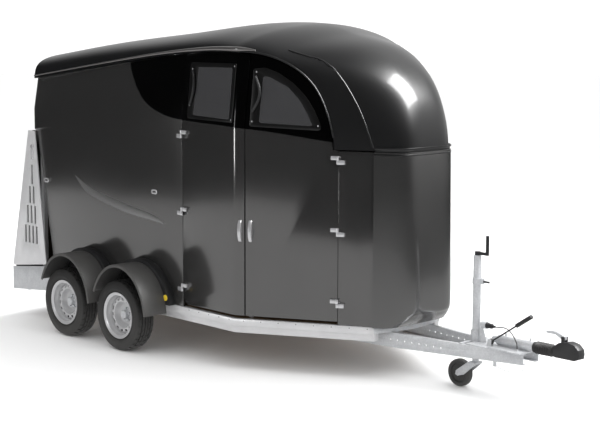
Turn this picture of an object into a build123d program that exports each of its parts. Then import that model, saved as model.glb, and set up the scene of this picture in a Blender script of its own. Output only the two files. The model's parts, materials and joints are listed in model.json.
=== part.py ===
"""A two-horse trailer: moulded shell on a galvanised chassis with tandem wheels, ramp and overrun drawbar.

Axes: X forward to the coupling, Y to the trailer's left, Z up, ground at Z = 0. Lengths are in mm.
The shape is laid out from the kink in the side walls (X = 0 there) and moved to the part's origin,
under the middle of the overall length, when it is written.
"""
import math
import os

from build123d import *

os.makedirs("parts", exist_ok=True)

# Overall reach from the kink in the side walls
REAR_REACH = 3190.0
FRONT_REACH = 2641.0
ORIGIN_FROM_KINK = (FRONT_REACH - REAR_REACH) / 2

# Shell
HALF_WIDTH = 942.0
TAPER_LENGTH = 996.0          # from the kink to the sill's front corner
TAPER_IN = 568.0              # how far the sill's corner lies inside the full width
WALL = 25.0
SILL_TOP = 420.0
SILL_BOTTOM = 309.0
BELT_Z = 1950.0               # the walls lean inward above this height
LEAN_DEG = 5.94
WALL_REAR = -2780.0
FLANGE = 20.0                 # how far the hood stands proud of the walls
HOOD_EDGE = 32.0              # hood thickness at its lower edge
HOOD_CROWN = 14.0             # and at its crown
GROOVE_Z = 1785.0
GROOVE = 12.0
NOSE_JOINT_X = 985.0
SEAM = 0.5
GAP = 4.0

# Roof cross-sections behind the kink: place, gutter height, crown height and fullness
ROOF_SECTIONS = [(-2780, 2225, 2456, 3.6), (-1900, 2345, 2577, 3.1), (-1000, 2460, 2668, 2.6),
                 (-380, 2512, 2740, 2.1)]
# Nose hoops about a pivot over the kink at the groove: angle, gutter reach, crown reach, fullness
NOSE_HOOPS = [(90, 732, 952, 1.7), (67.5, 735, 945, 1.6), (45, 733, 1055, 2.3),
              (22.5, 712, 1185, 3.5), (0, 716, 1210, 5.2)]
ROOF_STEPS = 2
HOOP_STEPS = 3
# Lower nose: height and centre reach, from its undercut base up to the groove
NOSE_LEVELS = [(420.5, 1110), (500, 1215), (620, 1262), (1773, 1212)]
NOSE_FULL = 5.2

# Doors and windows on the right-hand side
DOOR_REAR_X = -640.0
DOOR_MEET_X = 74.0
DOOR_FRONT_X = 729.0
MEET_GAP = 10.0               # between the two doors, so that either swings past the other
SWING_ROOM = 26.0             # the front door moves forward by this much as it swings clear of the hood
DOOR_BOTTOM = 447.0
DOOR = 28.0
HINGE_PIN_R = 6.0
RUNNING = 0.05
REAR_HINGE_Z = (1845.0, 1216.0, 586.0)
FRONT_HINGE_Z = (1706.0, 1150.0, 593.0)
HINGE_STANDOFF = 12.0
WINDOW = 6.0
WINDOW_SKIN = 1.0
HANDLE_Z = 1125.0
HANDLE = 170.0

# Chassis
SILL_DEPTH = 45.0
FLOOR = 20.0
FLOOR_REAR = -3080.0
RAMP_AXIS = (-3150.0, 385.0)
RAMP_TOP = (-2830.0, 1740.0)
RAMP_THICK = 34.0
ROD_R = 14.0
PLATE = 12.0
RAMP_SIDE_Y = 952.0

# Wheels, 185/65 R14
WHEEL_X = (-1976.0, -1192.0)
WHEEL_NAMES = ("rear", "front")
TYRE_R = 298.0
TYRE_W = 185.0
TYRE_OUTER_Y = 1218.0
BEAD_R = 178.0
FLANGE_R = 196.0
SPINDLE_R = 20.0
AXLE_AHEAD = 160.0
GUARD_R = 425.0
GUARD_T = 5.0
GUARD_Y = (1010.0, 1236.0)

# Drawbar
RAIL_FRONT_X = 2197.0
RAIL_FRONT_Y = 94.0
RAIL_WEB = 8.0
RAIL_FLANGE = 34.0
RAIL_TOP = 370.0
RAIL_DEPTH_REAR = 118.0
RAIL_DEPTH_FRONT = 78.0
SHAFT_Z = 420.0
SHAFT_R = 25.0
HOUSING_R = 38.0
HOUSING_X = (1900.0, 2232.0)
HEAD_X = 2409.0
BALL_R = 25.0
BALL_X = 2560.0

# Jockey wheel
JOCKEY_X = 1682.0
JOCKEY_R = 30.0
JOCKEY_TOP = 1029.0
JOCKEY_BOTTOM = 300.0
LEG_R = 25.5
SMALL_WHEEL_R = 106.0
SMALL_WHEEL_W = 62.0
SMALL_WHEEL_X = 1535.0

RIGHT, LEFT = -1, 1


def save(name, *solids):
    """Writes one sub-part, moved from the kink to the part's origin."""
    to_origin = Location((-ORIGIN_FROM_KINK, 0, 0))
    pieces = [piece.moved(to_origin) for group in solids for piece in group.solids()]
    export_step(pieces[0] if len(pieces) == 1 else Compound(children=pieces), f"parts/{name}.step")


def block(x, y, z):
    """A box between two values on each axis."""
    size = (x[1] - x[0], y[1] - y[0], z[1] - z[0])
    return Pos(x[0], y[0], z[0]) * Box(*size, align=(Align.MIN, Align.MIN, Align.MIN))


def rod(start, end, radius, bore=0.0):
    """A round bar or tube between two points."""
    axis = Vector(*end) - Vector(*start)
    plane = Plane(origin=start, z_dir=axis)
    bar = plane * Cylinder(radius, axis.length, align=(Align.CENTER, Align.CENTER, Align.MIN))
    if bore:
        bar -= plane * Cylinder(bore, axis.length, align=(Align.CENTER, Align.CENTER, Align.MIN))
    return bar


def side_prism(points, y0, y1):
    """A polygon in the side view (X, Z), solid from one Y to another."""
    face = make_face(Polyline(*[(x, y0, z) for x, z in points], close=True))
    return extrude(face, y1 - y0, dir=(0, 1, 0))


def plan_prism(points, z0, z1):
    """A polygon in plan (X, Y), solid from one Z to another."""
    face = make_face(Polyline(*[(x, y, z0) for x, y in points], close=True))
    return extrude(face, z1 - z0, dir=(0, 0, 1))


def mirrored(shape):
    """The same shape on the other side of the trailer."""
    return mirror(shape, about=Plane.XZ)


def between(table, steps):
    """Rows of a table with extra rows blended evenly between its own."""
    rows = []
    for low, high in zip(table, table[1:]):
        rows += [tuple(a + (b - a) * k / steps for a, b in zip(low, high)) for k in range(steps)]
    return rows + [table[-1]]


def hoop_direction(angle):
    """Forward and upward shares of a hoop's direction from the pivot."""
    return math.cos(math.radians(angle)), math.sin(math.radians(angle))


KINK_SECTION = (0.0, *(GROOVE_Z + reach for reach in NOSE_HOOPS[0][1:3]), NOSE_HOOPS[0][3])
ROOF_ROWS = between(ROOF_SECTIONS + [KINK_SECTION], ROOF_STEPS)[:-1]
HOOP_ROWS = between(NOSE_HOOPS, HOOP_STEPS)
# The hood's lower edge on the side walls: a level run, then an arch down to the groove
GUTTER = [(x, z) for x, z, crown, fullness in ROOF_ROWS]
GUTTER += [(reach * hoop_direction(angle)[0], GROOVE_Z + reach * hoop_direction(angle)[1])
           for angle, reach, crown, fullness in HOOP_ROWS]


def side_line(x, z=0.0):
    """Half-width of the walls' outer face at a place along the trailer and a height."""
    lean = math.tan(math.radians(LEAN_DEG)) * max(0.0, z - BELT_Z)
    return HALF_WIDTH - max(0.0, x) * TAPER_IN / TAPER_LENGTH - lean


TAPER = math.atan2(TAPER_IN, TAPER_LENGTH)
TAPER_DIR = Vector(math.cos(TAPER), math.sin(TAPER), 0)       # along the right front wall
TAPER_OUT = Vector(math.sin(TAPER), -math.cos(TAPER), 0)      # out of the right front wall


def wall_point(x, z, out=0.0):
    """A point on the right wall's outer face, moved outward by a distance."""
    normal = TAPER_OUT if x > 0 else Vector(0, -1, 0)
    return Vector(x, -side_line(x, z), z) + normal * out


# ---------------------------------------------------------------- walls and doors
def envelope(offset):
    """The walls' outer faces moved inward by an offset, filled, up to above the roof."""
    far = 1150.0
    grow = offset * math.tan(TAPER / 2)
    outline = [(WALL_REAR, HALF_WIDTH - offset), (-grow, HALF_WIDTH - offset),
               (far, side_line(far) - offset / math.cos(TAPER))]
    outline = [(x, -y) for x, y in outline] + outline[::-1]
    low = plan_prism(outline, SILL_TOP, BELT_Z)
    top_face = Pos(0, 0, BELT_Z) * make_face(Polyline(*outline, close=True))
    high = extrude(top_face, 620, taper=LEAN_DEG)
    return low + high


def ring(outer, inner):
    """The skin between two envelopes, given by their offsets from the walls' outer face."""
    return envelope(outer) - envelope(inner)


def gutter_z(x):
    """Height of the gutter line."""
    for (x0, z0), (x1, z1) in zip(GUTTER, GUTTER[1:]):
        if x0 <= x <= x1:
            return z0 + (z1 - z0) * (x - x0) / (x1 - x0)
    return GUTTER[-1][1]


def under_gutter(x0, x1, z0, drop):
    """Side-view outline from a base height to just under the gutter line, between two X values."""
    tops = [(x, z) for x, z in GUTTER if x0 < x < x1]
    tops = [(x0, gutter_z(x0)), *tops, (x1, gutter_z(x1))]
    return [(x0, z0), *[(x, z - drop) for x, z in tops], (x1, z0)]


walls = ring(0, WALL)
REAR_LOW_X = -2480.0


def rear_panel_outline(x1):
    """Side outline of the long panel: slanted rear edge, then up the portal to the gutter."""
    top = under_gutter(WALL_REAR, x1, SILL_TOP, SEAM)
    return [(REAR_LOW_X, SILL_TOP + SEAM), (WALL_REAR + 45, 1745), (WALL_REAR, 1760), *top[1:-1],
            (x1, SILL_TOP + SEAM)]


left_low = rear_panel_outline(-SEAM)
left_front = [(0, SILL_TOP + SEAM), *[(x, z - SEAM) for x, z in GUTTER if x > -1],
              (NOSE_JOINT_X - SEAM, GUTTER[-1][1] - GROOVE), (NOSE_JOINT_X - SEAM, SILL_TOP + SEAM)]
save("left_wall", walls & side_prism(left_low[:-1] + left_front[1:], 300, 1200))
save("right_wall_rear", walls & side_prism(rear_panel_outline(DOOR_REAR_X - GAP), -1200, -300))
front_panel = [(DOOR_FRONT_X + GAP, SILL_TOP + SEAM), (DOOR_FRONT_X + GAP, GUTTER[-1][1] - GROOVE),
               (NOSE_JOINT_X - SEAM, GUTTER[-1][1] - GROOVE), (NOSE_JOINT_X - SEAM, SILL_TOP + SEAM)]
save("right_wall_front", walls & side_prism(front_panel, -1200, -300))

# Window outlines in the side view, glass edges and the hole in the door behind them
REAR_PANE = [(-575, 1985), (-575, 2395), (-560, 2425), (-22, 2425), (-22, 1968), (-560, 1975)]
REAR_HOLE = [(-500, 2004), (-472, 2388), (-60, 2393), (-60, 1990), (-490, 2000)]
WIDE_PANE = [(110, 1955), (110, 2390), (190, 2400), (290, 2360), (395, 2285), (490, 2185),
             (560, 2075), (615, 1950), (600, 1925), (120, 1945)]
WIDE_HOLE = [(175, 1985), (180, 2334), (220, 2330), (360, 2255), (445, 2160), (510, 2050), (550, 1965)]


def door_outline(x0, x1, cut_corner=0.0):
    """Side outline of a door: clear of the gutter by the door gap, with a rounded lower corner."""
    outline = under_gutter(x0, x1, DOOR_BOTTOM, GAP)
    if cut_corner:
        outline[0] = (x0 + cut_corner, DOOR_BOTTOM)
        outline.insert(1, (x0 + cut_corner / 3, DOOR_BOTTOM + cut_corner / 3))
        outline.insert(2, (x0, DOOR_BOTTOM + cut_corner))
    return outline


def front_door_outline(x0, x1):
    """Side outline of the front door, whose head stands back from the arch it swings past."""
    head = [(x - SWING_ROOM, z - GAP) for x, z in GUTTER if x - SWING_ROOM > x0]
    return [(x0, DOOR_BOTTOM), (x0, gutter_z(x0 + SWING_ROOM) - GAP), *head,
            (x1, GUTTER[-1][1] - GAP), (x1, DOOR_BOTTOM)]


doors = ring(0, DOOR)
rear_door = doors & side_prism(door_outline(DOOR_REAR_X, DOOR_MEET_X - MEET_GAP / 2, 60), -1200, -300)
rear_door -= side_prism(REAR_HOLE, -1200, -300)
save("rear_side_door", rear_door)
front_door = doors & side_prism(front_door_outline(DOOR_MEET_X + MEET_GAP / 2, DOOR_FRONT_X), -1200, -300)
front_door -= side_prism(WIDE_HOLE, -1200, -300)
save("front_side_door", front_door)

panes = ring(-WINDOW_SKIN - WINDOW, -WINDOW_SKIN)
save("rear_window", panes & side_prism(REAR_PANE, -1200, -300))
save("front_window", panes & side_prism(WIDE_PANE, -1200, -300))

# Inner grille behind the rear window: two uprights and four rails welded as one
GRILLE_IN = -DOOR - 12
bars = [rod(wall_point(x, 1975, GRILLE_IN), wall_point(x, 2410, GRILLE_IN), 6) for x in (-515, -420, -45)]
bars += [rod(wall_point(-521, z, GRILLE_IN), wall_point(-39, z, GRILLE_IN), 5)
         for z in (1990, 2100, 2220, 2340, 2400)]
grille = bars[0]
for bar in bars[1:]:
    grille += bar
grille += [rod(wall_point(x, z, GRILLE_IN), wall_point(x, z, -DOOR - 0.6), 4)
           for x in (-515, -45) for z in (1985, 2400)]
save("window_grille", grille)


# ---------------------------------------------------------------- door hinges and handles
def hinge_axis(x):
    """Foot of a door's hinge axis, a little outside the wall at the door's gap."""
    point = wall_point(x, DOOR_BOTTOM, HINGE_STANDOFF)
    return point.X, point.Y


def hinge_set(gap_x, heights, door_side):
    """Brackets with pins, and leaves with bores, for the hinges at one gap.

    door_side is 1 where the door lies ahead of the gap and -1 where it lies behind it.
    """
    ax, ay = hinge_axis(gap_x)
    along = TAPER_DIR if gap_x > 0 else Vector(1, 0, 0)
    out = TAPER_OUT if gap_x > 0 else Vector(0, -1, 0)
    brackets, leaves = [], []
    for z in heights:
        pin = rod((ax, ay, z - 34), (ax, ay, z + 28), HINGE_PIN_R)
        brackets.append(pin + arm((ax, ay), along * -door_side, out, z - 34, z - 1, 0))
        leaves.append(arm((ax, ay), along * door_side, out, z, z + 30, HINGE_PIN_R + RUNNING))
    return brackets, leaves


def arm(axis, along, out, z0, z1, bore):
    """A hinge half: a knuckle at the axis and a flat foot on the wall's face."""
    plane = Plane(origin=(*axis, z0), x_dir=along, z_dir=(0, 0, 1))
    side = 1 if plane.y_dir.dot(out) > 0 else -1
    foot_low, foot_high = sorted((-side * (HINGE_STANDOFF - 0.3), side * 3.0))
    foot = Pos(11, foot_low, 0) * Box(44, foot_high - foot_low, z1 - z0,
                                      align=(Align.MIN, Align.MIN, Align.MIN))
    web = Pos(0, -8, 0) * Box(13, 16, z1 - z0, align=(Align.MIN, Align.MIN, Align.MIN))
    knuckle = Cylinder(10.5, z1 - z0, align=(Align.CENTER, Align.CENTER, Align.MIN))
    half = knuckle + web + foot
    if bore:
        half -= Cylinder(bore, z1 - z0, align=(Align.CENTER, Align.CENTER, Align.MIN))
    return plane * half


rear_brackets, rear_leaves = hinge_set(DOOR_REAR_X, REAR_HINGE_Z, 1)
front_brackets, front_leaves = hinge_set(DOOR_FRONT_X, FRONT_HINGE_Z, -1)
save("hinge_brackets", *rear_brackets, *front_brackets)
save("rear_door_leaves", *rear_leaves)
save("front_door_leaves", *front_leaves)


def handle(x):
    """A crescent lever standing on the wall, with its straight back on the pivot line."""
    foot = wall_point(x, HANDLE_Z)
    out = TAPER_OUT if x > 0 else Vector(0, -1, 0)
    side = Plane(origin=foot, x_dir=out, z_dir=out.cross(Vector(0, 0, 1)))
    half, reach = HANDLE / 2, 30.0
    up = 1 if side.y_dir.Z > 0 else -1
    outline = Polyline((0.5, -half * up), (8, -half * up)) + ThreePointArc(
        (8, -half * up), (8 + reach, 0), (8, half * up)) + Polyline((8, half * up), (0.5, half * up),
                                                                    (0.5, -half * up))
    lever = extrude(side * make_face(outline), 13, both=True)
    return fillet(lever.edges().filter_by(GeomType.CIRCLE), 5)


save("rear_door_handle", handle(DOOR_MEET_X - 33))
save("front_door_handle", handle(DOOR_MEET_X + 42))


# ---------------------------------------------------------------- hood and nose
ARCH_STEPS = 18


def arch(width_at, edge, crown, fullness, place):
    """Points of one arch across the trailer, from its left edge over the crown to its right edge.

    width_at gives the half-width at a reach, edge and crown are reaches, fullness shapes the shoulder,
    and place turns (half-width, reach) into a point.
    """
    points = []
    for i in range(ARCH_STEPS + 1):
        angle = math.pi * i / ARCH_STEPS
        rise = math.sin(angle) ** (2 / fullness) if 0 < i < ARCH_STEPS else 0.0
        spread = math.copysign(abs(math.cos(angle)) ** (2 / fullness), math.cos(angle))
        spread = 0.0 if 2 * i == ARCH_STEPS else spread
        reach = edge + (crown - edge) * rise
        points.append(place(width_at(reach) * spread, reach))
    return points


def skin(outer, inner):
    """A closed shell between two grids of points, each a list of arches, with flat facets."""
    faces = []

    def quad(a, b, c, d):
        for corner in ((a, b, c), (a, c, d)):
            faces.append(Face(Wire.make_polygon(corner, close=True)))

    for i in range(len(outer) - 1):
        for j in range(len(outer[0]) - 1):
            quad(outer[i][j], outer[i][j + 1], outer[i + 1][j + 1], outer[i + 1][j])
            quad(inner[i][j], inner[i + 1][j], inner[i + 1][j + 1], inner[i][j + 1])
        for j in (0, -1):
            quad(outer[i][j], outer[i + 1][j], inner[i + 1][j], inner[i][j])
    for j in range(len(outer[0]) - 1):
        for i in (0, -1):
            quad(outer[i][j], inner[i][j], inner[i][j + 1], outer[i][j + 1])
    solid = Solid(Shell(faces))
    return solid if solid.volume > 0 else Solid(Shell([-f for f in faces]))


def hood_arches(inset_edge, inset_crown):
    """The hood's arches from the rear to the groove, moved inward by two insets."""
    rows = []
    for x, edge, crown, fullness in ROOF_ROWS:
        rows.append(arch(lambda z: side_line(x, z) + FLANGE - inset_edge, edge,
                         crown - inset_crown, fullness, lambda y, z: (x, y, z)))
    for angle, edge, crown, fullness in HOOP_ROWS:
        c, s = hoop_direction(angle)
        rows.append(arch(lambda r: side_line(r * c, GROOVE_Z + r * s) + FLANGE - inset_edge, edge,
                         crown - inset_crown, fullness, lambda y, r: (r * c, y, GROOVE_Z + r * s)))
    return rows


save("hood_shell", skin(hood_arches(0, 0), hood_arches(HOOD_EDGE, HOOD_CROWN)))


def nose_arches(inset):
    """Level arches of the lower nose, from the undercut base to the groove."""
    return [arch(lambda r: side_line(r) + FLANGE - inset, NOSE_JOINT_X, reach - inset, NOSE_FULL,
                 lambda y, r: (r, y, z)) for z, reach in between(NOSE_LEVELS, 2)]


save("nose_panel", skin(nose_arches(0), nose_arches(WALL)))


# ---------------------------------------------------------------- chassis and floor
def plan_ring(outer, inner, z0, z1, x0, x1):
    """A frame following the walls in plan, between two offsets, two heights and two X values."""
    def outline(offset):
        half = [(WALL_REAR, HALF_WIDTH - offset), (-offset * math.tan(TAPER / 2), HALF_WIDTH - offset),
                (1150.0, side_line(1150.0) - offset / math.cos(TAPER))]
        return [(x, -y) for x, y in half] + half[::-1]

    frame = plan_prism(outline(outer), z0, z1)
    if inner is not None:
        frame -= plan_prism(outline(inner), z0 - 1, z1 + 1)
    return frame & block((x0, x1), (-1000, 1000), (z0, z1))


SILL_SPLIT = 362.0
SILL_REAR_X = -2300.0
sills = plan_ring(-6, SILL_DEPTH, SILL_SPLIT, SILL_TOP, SILL_REAR_X, NOSE_JOINT_X)
sills += plan_ring(2, SILL_DEPTH, SILL_BOTTOM, SILL_SPLIT, SILL_REAR_X, NOSE_JOINT_X)
for wheel_x in WHEEL_X:
    sills -= rod((wheel_x, -1000, TYRE_R), (wheel_x, 1000, TYRE_R), SPINDLE_R + 25)
save("sills", sills)

FLOOR_LOW = SILL_TOP - FLOOR
board = plan_ring(SILL_DEPTH + 0.3, None, FLOOR_LOW, SILL_TOP, WALL_REAR, NOSE_JOINT_X)
board += block((FLOOR_REAR, WALL_REAR), (-929, 929), (FLOOR_LOW, SILL_TOP))
save("floor_board", board)

MEMBER_TOP = FLOOR_LOW - 0.3
RAIL_REST = RAIL_TOP + 0.3
members = [block((x - 25, x + 25), (-HALF_WIDTH + SILL_DEPTH + 0.3, HALF_WIDTH - SILL_DEPTH - 0.3),
                 (RAIL_REST, MEMBER_TOP)) for x in (-2240, -1500, -620, -110)]
last_half = side_line(480.0) - SILL_DEPTH / math.cos(TAPER) - 0.3
members.append(block((430, 480), (-last_half, last_half), (RAIL_REST, MEMBER_TOP)))
bow = [(NOSE_JOINT_X + 0.3, 386), (1045, 200), (1062, 0), (1045, -200), (NOSE_JOINT_X + 0.3, -386)]
hollow = [(NOSE_JOINT_X - 1, 300), (1010, 180), (1024, 0), (1010, -180), (NOSE_JOINT_X - 1, -300)]
members.append(plan_prism(bow[::-1], RAIL_REST, SILL_TOP) - plan_prism(hollow[::-1], 300, 500))
save("cross_members", *members)

posts = []
for x in (DOOR_REAR_X - 40, DOOR_MEET_X, DOOR_FRONT_X + 40):
    foot = wall_point(x, 2430, -DOOR - 24)
    posts.append(rod((foot.X, foot.Y, SILL_TOP + 0.3), (foot.X, foot.Y, 2400 if x < 200 else 1760), 20, 16))
save("door_posts", *posts)

STALL_POST_X = -740.0
partition = rod((STALL_POST_X, 0, SILL_TOP + 0.3), (STALL_POST_X, 0, 2250), 26, 22)
partition += block((-2560, STALL_POST_X - 20), (-16, 16), (560, 1480))
for side in (RIGHT, LEFT):
    wall = side * (HALF_WIDTH - WALL - 0.3)
    partition += rod((STALL_POST_X, side * 24, 1130), (STALL_POST_X, wall, 1130), 22)
save("partition", partition)


# ---------------------------------------------------------------- rear portal, doors and ramp
PORTAL_Y = (848.0, 884.0)
PORTAL_X = (WALL_REAR + 0.5, WALL_REAR + 45)
HEADER_LOW = 2186.0
UPPER_LOW = 1768.0
PIN_Y = 872.0
PIN_X = WALL_REAR - 18.0
portal = block(PORTAL_X, (-PORTAL_Y[1], PORTAL_Y[1]), (HEADER_LOW, 2222))
for side in (RIGHT, LEFT):
    y0, y1 = sorted((side * PORTAL_Y[0], side * PORTAL_Y[1]))
    portal += block(PORTAL_X, (y0, y1), (SILL_TOP + 0.3, HEADER_LOW))
    pin = rod((PIN_X, side * PIN_Y, UPPER_LOW - 22), (PIN_X, side * PIN_Y, HEADER_LOW + 20), HINGE_PIN_R)
    lug = block((PIN_X - 9, WALL_REAR + 1), (side * PIN_Y - 9, side * PIN_Y + 9), (0, 18))
    portal += pin + Pos(0, 0, UPPER_LOW - 20) * lug + Pos(0, 0, HEADER_LOW + 2) * lug
gable = arch(lambda z: side_line(WALL_REAR, z) + FLANGE - HOOD_EDGE - 1, 2225,
             ROOF_SECTIONS[0][2] - HOOD_CROWN - 3, ROOF_SECTIONS[0][3],
             lambda y, z: (PORTAL_X[0] + 0.5, y, z))
gable_face = make_face(Polyline(*gable, (PORTAL_X[0] + 0.5, -PORTAL_Y[1], 2215),
                                (PORTAL_X[0] + 0.5, PORTAL_Y[1], 2215), close=True))
portal += extrude(gable_face, 24, dir=(1, 0, 0))
save("rear_frame", portal)

for side, name in ((RIGHT, "right"), (LEFT, "left")):
    y0, y1 = sorted((side * 2.0, side * PIN_Y))
    leaf = block((PIN_X - 8, PIN_X + 14), (y0, y1), (UPPER_LOW, HEADER_LOW))
    leaf += rod((PIN_X, side * PIN_Y, UPPER_LOW), (PIN_X, side * PIN_Y, HEADER_LOW), 13)
    leaf -= rod((PIN_X, side * PIN_Y, UPPER_LOW - 1), (PIN_X, side * PIN_Y, HEADER_LOW + 1),
                HINGE_PIN_R + RUNNING)
    save(f"upper_door_{name}", leaf)

BOX_Y = (931.0, 950.0)
box_side = [(-3180, 225), (SILL_REAR_X - 0.3, SILL_BOTTOM), (SILL_REAR_X - 0.3, 419), (-2512, 419),
            (-2600, 508), (-3180, 438)]
rear_box = rod((RAMP_AXIS[0], -BOX_Y[1], RAMP_AXIS[1]), (RAMP_AXIS[0], BOX_Y[1], RAMP_AXIS[1]), ROD_R)
for side in (RIGHT, LEFT):
    y0, y1 = sorted((side * BOX_Y[0], side * BOX_Y[1]))
    rear_box += side_prism(box_side, y0, y1)
rear_box += block((-3100, -3062), (-BOX_Y[0], BOX_Y[0]), (250, MEMBER_TOP))
rear_box += block((-3100, -2940), (-BOX_Y[0], BOX_Y[0]), (238, 250))
rear_box += block((-3180, -3100), (-BOX_Y[0], BOX_Y[0]), (238, 244))
rear_box += block((-3180, -3172), (-BOX_Y[0], BOX_Y[0]), (238, 330))
save("rear_box", rear_box)

ramp_run = Vector(RAMP_TOP[0] - RAMP_AXIS[0], RAMP_TOP[1] - RAMP_AXIS[1])
RAMP_LENGTH = ramp_run.length
ramp_along = ramp_run.normalized()
ramp_out = Vector(-ramp_along.Y, ramp_along.X)


def ramp_point(along, out):
    """A point in the side view, by its distance up the ramp and out of its inner line."""
    point = Vector(*RAMP_AXIS) + ramp_along * along + ramp_out * out
    return point.X, point.Y


RAMP_IN, RAMP_OUT, RAMP_FOOT = -10.0, RAMP_THICK - 10.0, 38.0
KNUCKLE_R = 25.0
panel = side_prism([ramp_point(RAMP_FOOT, RAMP_IN), ramp_point(RAMP_FOOT, RAMP_OUT),
                    ramp_point(RAMP_LENGTH, RAMP_OUT), ramp_point(RAMP_LENGTH, RAMP_IN)], -929, 929)
for y in (-700, 0, 700):
    start, end = (RAMP_AXIS[0], y - 60, RAMP_AXIS[1]), (RAMP_AXIS[0], y + 60, RAMP_AXIS[1])
    panel += rod(start, end, KNUCKLE_R)
    panel += side_prism([ramp_point(0, RAMP_IN), ramp_point(0, RAMP_OUT), ramp_point(45, RAMP_OUT),
                         ramp_point(45, RAMP_IN)], y - 60, y + 60)
    panel -= rod(start, end, ROD_R + RUNNING)
save("ramp_panel", panel)

SIDE_PLATE_Y = (952.0, 952.0 + PLATE)
plate_front = [(-2603, 527), (-2752, 1740)]
LATCH_Z = 1600.0
LATCH_PIN_R = 6.0


def plate_middle(z):
    """Centre and width of a ramp side plate at a height."""
    rear = RAMP_AXIS[0] + ramp_run.X * (z - RAMP_AXIS[1]) / ramp_run.Y + 12
    share = (z - plate_front[0][1]) / (plate_front[1][1] - plate_front[0][1])
    front = plate_front[0][0] + (plate_front[1][0] - plate_front[0][0]) * share
    return (rear + front) / 2, front - rear


def ramp_side():
    """A triangular plate with rows of slots, on an edge channel along the ramp (left side)."""
    outline = [ramp_point(78, RAMP_IN), ramp_point(78, RAMP_OUT), ramp_point(RAMP_LENGTH, RAMP_OUT),
               plate_front[1], plate_front[0]]
    plate = side_prism(outline, *SIDE_PLATE_Y)
    plate += side_prism([ramp_point(90, RAMP_IN), ramp_point(90, RAMP_OUT),
                         ramp_point(RAMP_LENGTH, RAMP_OUT), ramp_point(RAMP_LENGTH, RAMP_IN)],
                        929.3, SIDE_PLATE_Y[0])
    for count, (z0, z1) in enumerate(((1250, 1430), (1072, 1230), (886, 1050), (700, 862)), 1):
        centre, width = plate_middle((z0 + z1) / 2)
        pitch = min(60.0, width / (count + 0.6))
        for k in range(count):
            x = centre + (k - (count - 1) / 2) * pitch
            plate -= block((x - 13, x + 13), (940, 980), (z0, z1))
    x = plate_middle(LATCH_Z)[0]
    return plate - rod((x, 900, LATCH_Z), (x, 1000, LATCH_Z), LATCH_PIN_R + RUNNING)


save("ramp_sides", ramp_side(), mirrored(ramp_side()))


def ramp_latch():
    """A lever turning on its own pin in the ramp's side plate (left side)."""
    x = plate_middle(LATCH_Z)[0]
    face = SIDE_PLATE_Y[1] + 0.3
    lever = rod((x, SIDE_PLATE_Y[0], LATCH_Z), (x, face + 12, LATCH_Z), LATCH_PIN_R)
    lever += rod((x, face, LATCH_Z), (x, face + 10, LATCH_Z), 18)
    lever += block((x - 11, x + 11), (face, face + 9), (LATCH_Z - 120, LATCH_Z))
    return lever


save("ramp_latch_left", ramp_latch())
save("ramp_latch_right", mirrored(ramp_latch()))

lamp = block((-REAR_REACH, -3180.3), (700, 925), (248, 325))
save("lamps", lamp, mirrored(lamp))


# ---------------------------------------------------------------- wheels, axles and mudguards
def turned(profile, x):
    """A profile of (radius, Y) pairs turned about a wheel's axle on the left side."""
    face = make_face(Polyline(*[(x, y, TYRE_R + r) for r, y in profile], close=True))
    return revolve(face, Axis((x, 0, TYRE_R), (0, 1, 0)), 360)


TYRE_MID_Y = TYRE_OUTER_Y - TYRE_W / 2
TREAD_HALF = 72.0


def tyre(x):
    """A hollow tyre on the left side."""
    half = TYRE_W / 2
    outer = [(BEAD_R + 0.3, 64), (199, 70), (209, 84), (228, half), (252, 91), (278, 84), (292, TREAD_HALF),
             (TYRE_R, 50)]
    inner = [(BEAD_R + 0.3, 52), (210, 66), (240, 76), (270, 68), (283, 46)]
    profile = [(r, TYRE_MID_Y + y) for r, y in outer] + [(r, TYRE_MID_Y - y) for r, y in outer[::-1]]
    profile += [(r, TYRE_MID_Y - y) for r, y in inner] + [(r, TYRE_MID_Y + y) for r, y in inner[::-1]]
    return turned(profile, x)


HUB_Y = 1090.0
RIM_HOLES = 14


def rim(x):
    """A pressed rim with vent holes, and the hub with its brake drum (left side)."""
    barrel = [(BEAD_R, -66), (FLANGE_R, -72), (FLANGE_R, -76), (172, -72), (172, -50), (158, -38),
              (158, 30), (172, 44), (172, 72), (FLANGE_R, 78), (FLANGE_R, 74), (BEAD_R, 66),
              (BEAD_R, 40), (164, 28), (164, -36), (BEAD_R, -46)]
    wheel = turned([(r, TYRE_MID_Y + y) for r, y in barrel], x)
    dish = [(166, TYRE_MID_Y + 6), (150, TYRE_MID_Y + 24), (120, TYRE_MID_Y + 30), (100, HUB_Y + 14),
            (58, HUB_Y + 10), (58, HUB_Y + 4), (102, HUB_Y + 8), (118, TYRE_MID_Y + 24),
            (148, TYRE_MID_Y + 18), (160, TYRE_MID_Y + 2)]
    wheel += turned(dish, x)
    for k in range(RIM_HOLES):
        turn = 2 * math.pi * k / RIM_HOLES
        place = (x + 138 * math.cos(turn), TYRE_R + 138 * math.sin(turn))
        wheel -= rod((place[0], HUB_Y, place[1]), (place[0], HUB_Y + 100, place[1]), 11)
    hub = turned([(SPINDLE_R + RUNNING, 955), (118, 955), (118, 1012), (60, 1012), (60, HUB_Y + 30),
                  (SPINDLE_R + RUNNING, HUB_Y + 30)], x)
    studs = [rod((x + 49 * math.cos(a), HUB_Y + 9, TYRE_R + 49 * math.sin(a)),
                 (x + 49 * math.cos(a), HUB_Y + 42, TYRE_R + 49 * math.sin(a)), 8)
             for a in (2 * math.pi * k / 5 + 0.3 for k in range(5))]
    for stud in studs:
        hub += stud
    return wheel + hub


for wheel_x, row in zip(WHEEL_X, WHEEL_NAMES):
    left_tyre, left_rim = tyre(wheel_x), rim(wheel_x)
    save(f"tyre_{row}_left", left_tyre)
    save(f"tyre_{row}_right", mirrored(left_tyre))
    save(f"rim_{row}_left", left_rim)
    save(f"rim_{row}_right", mirrored(left_rim))

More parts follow.
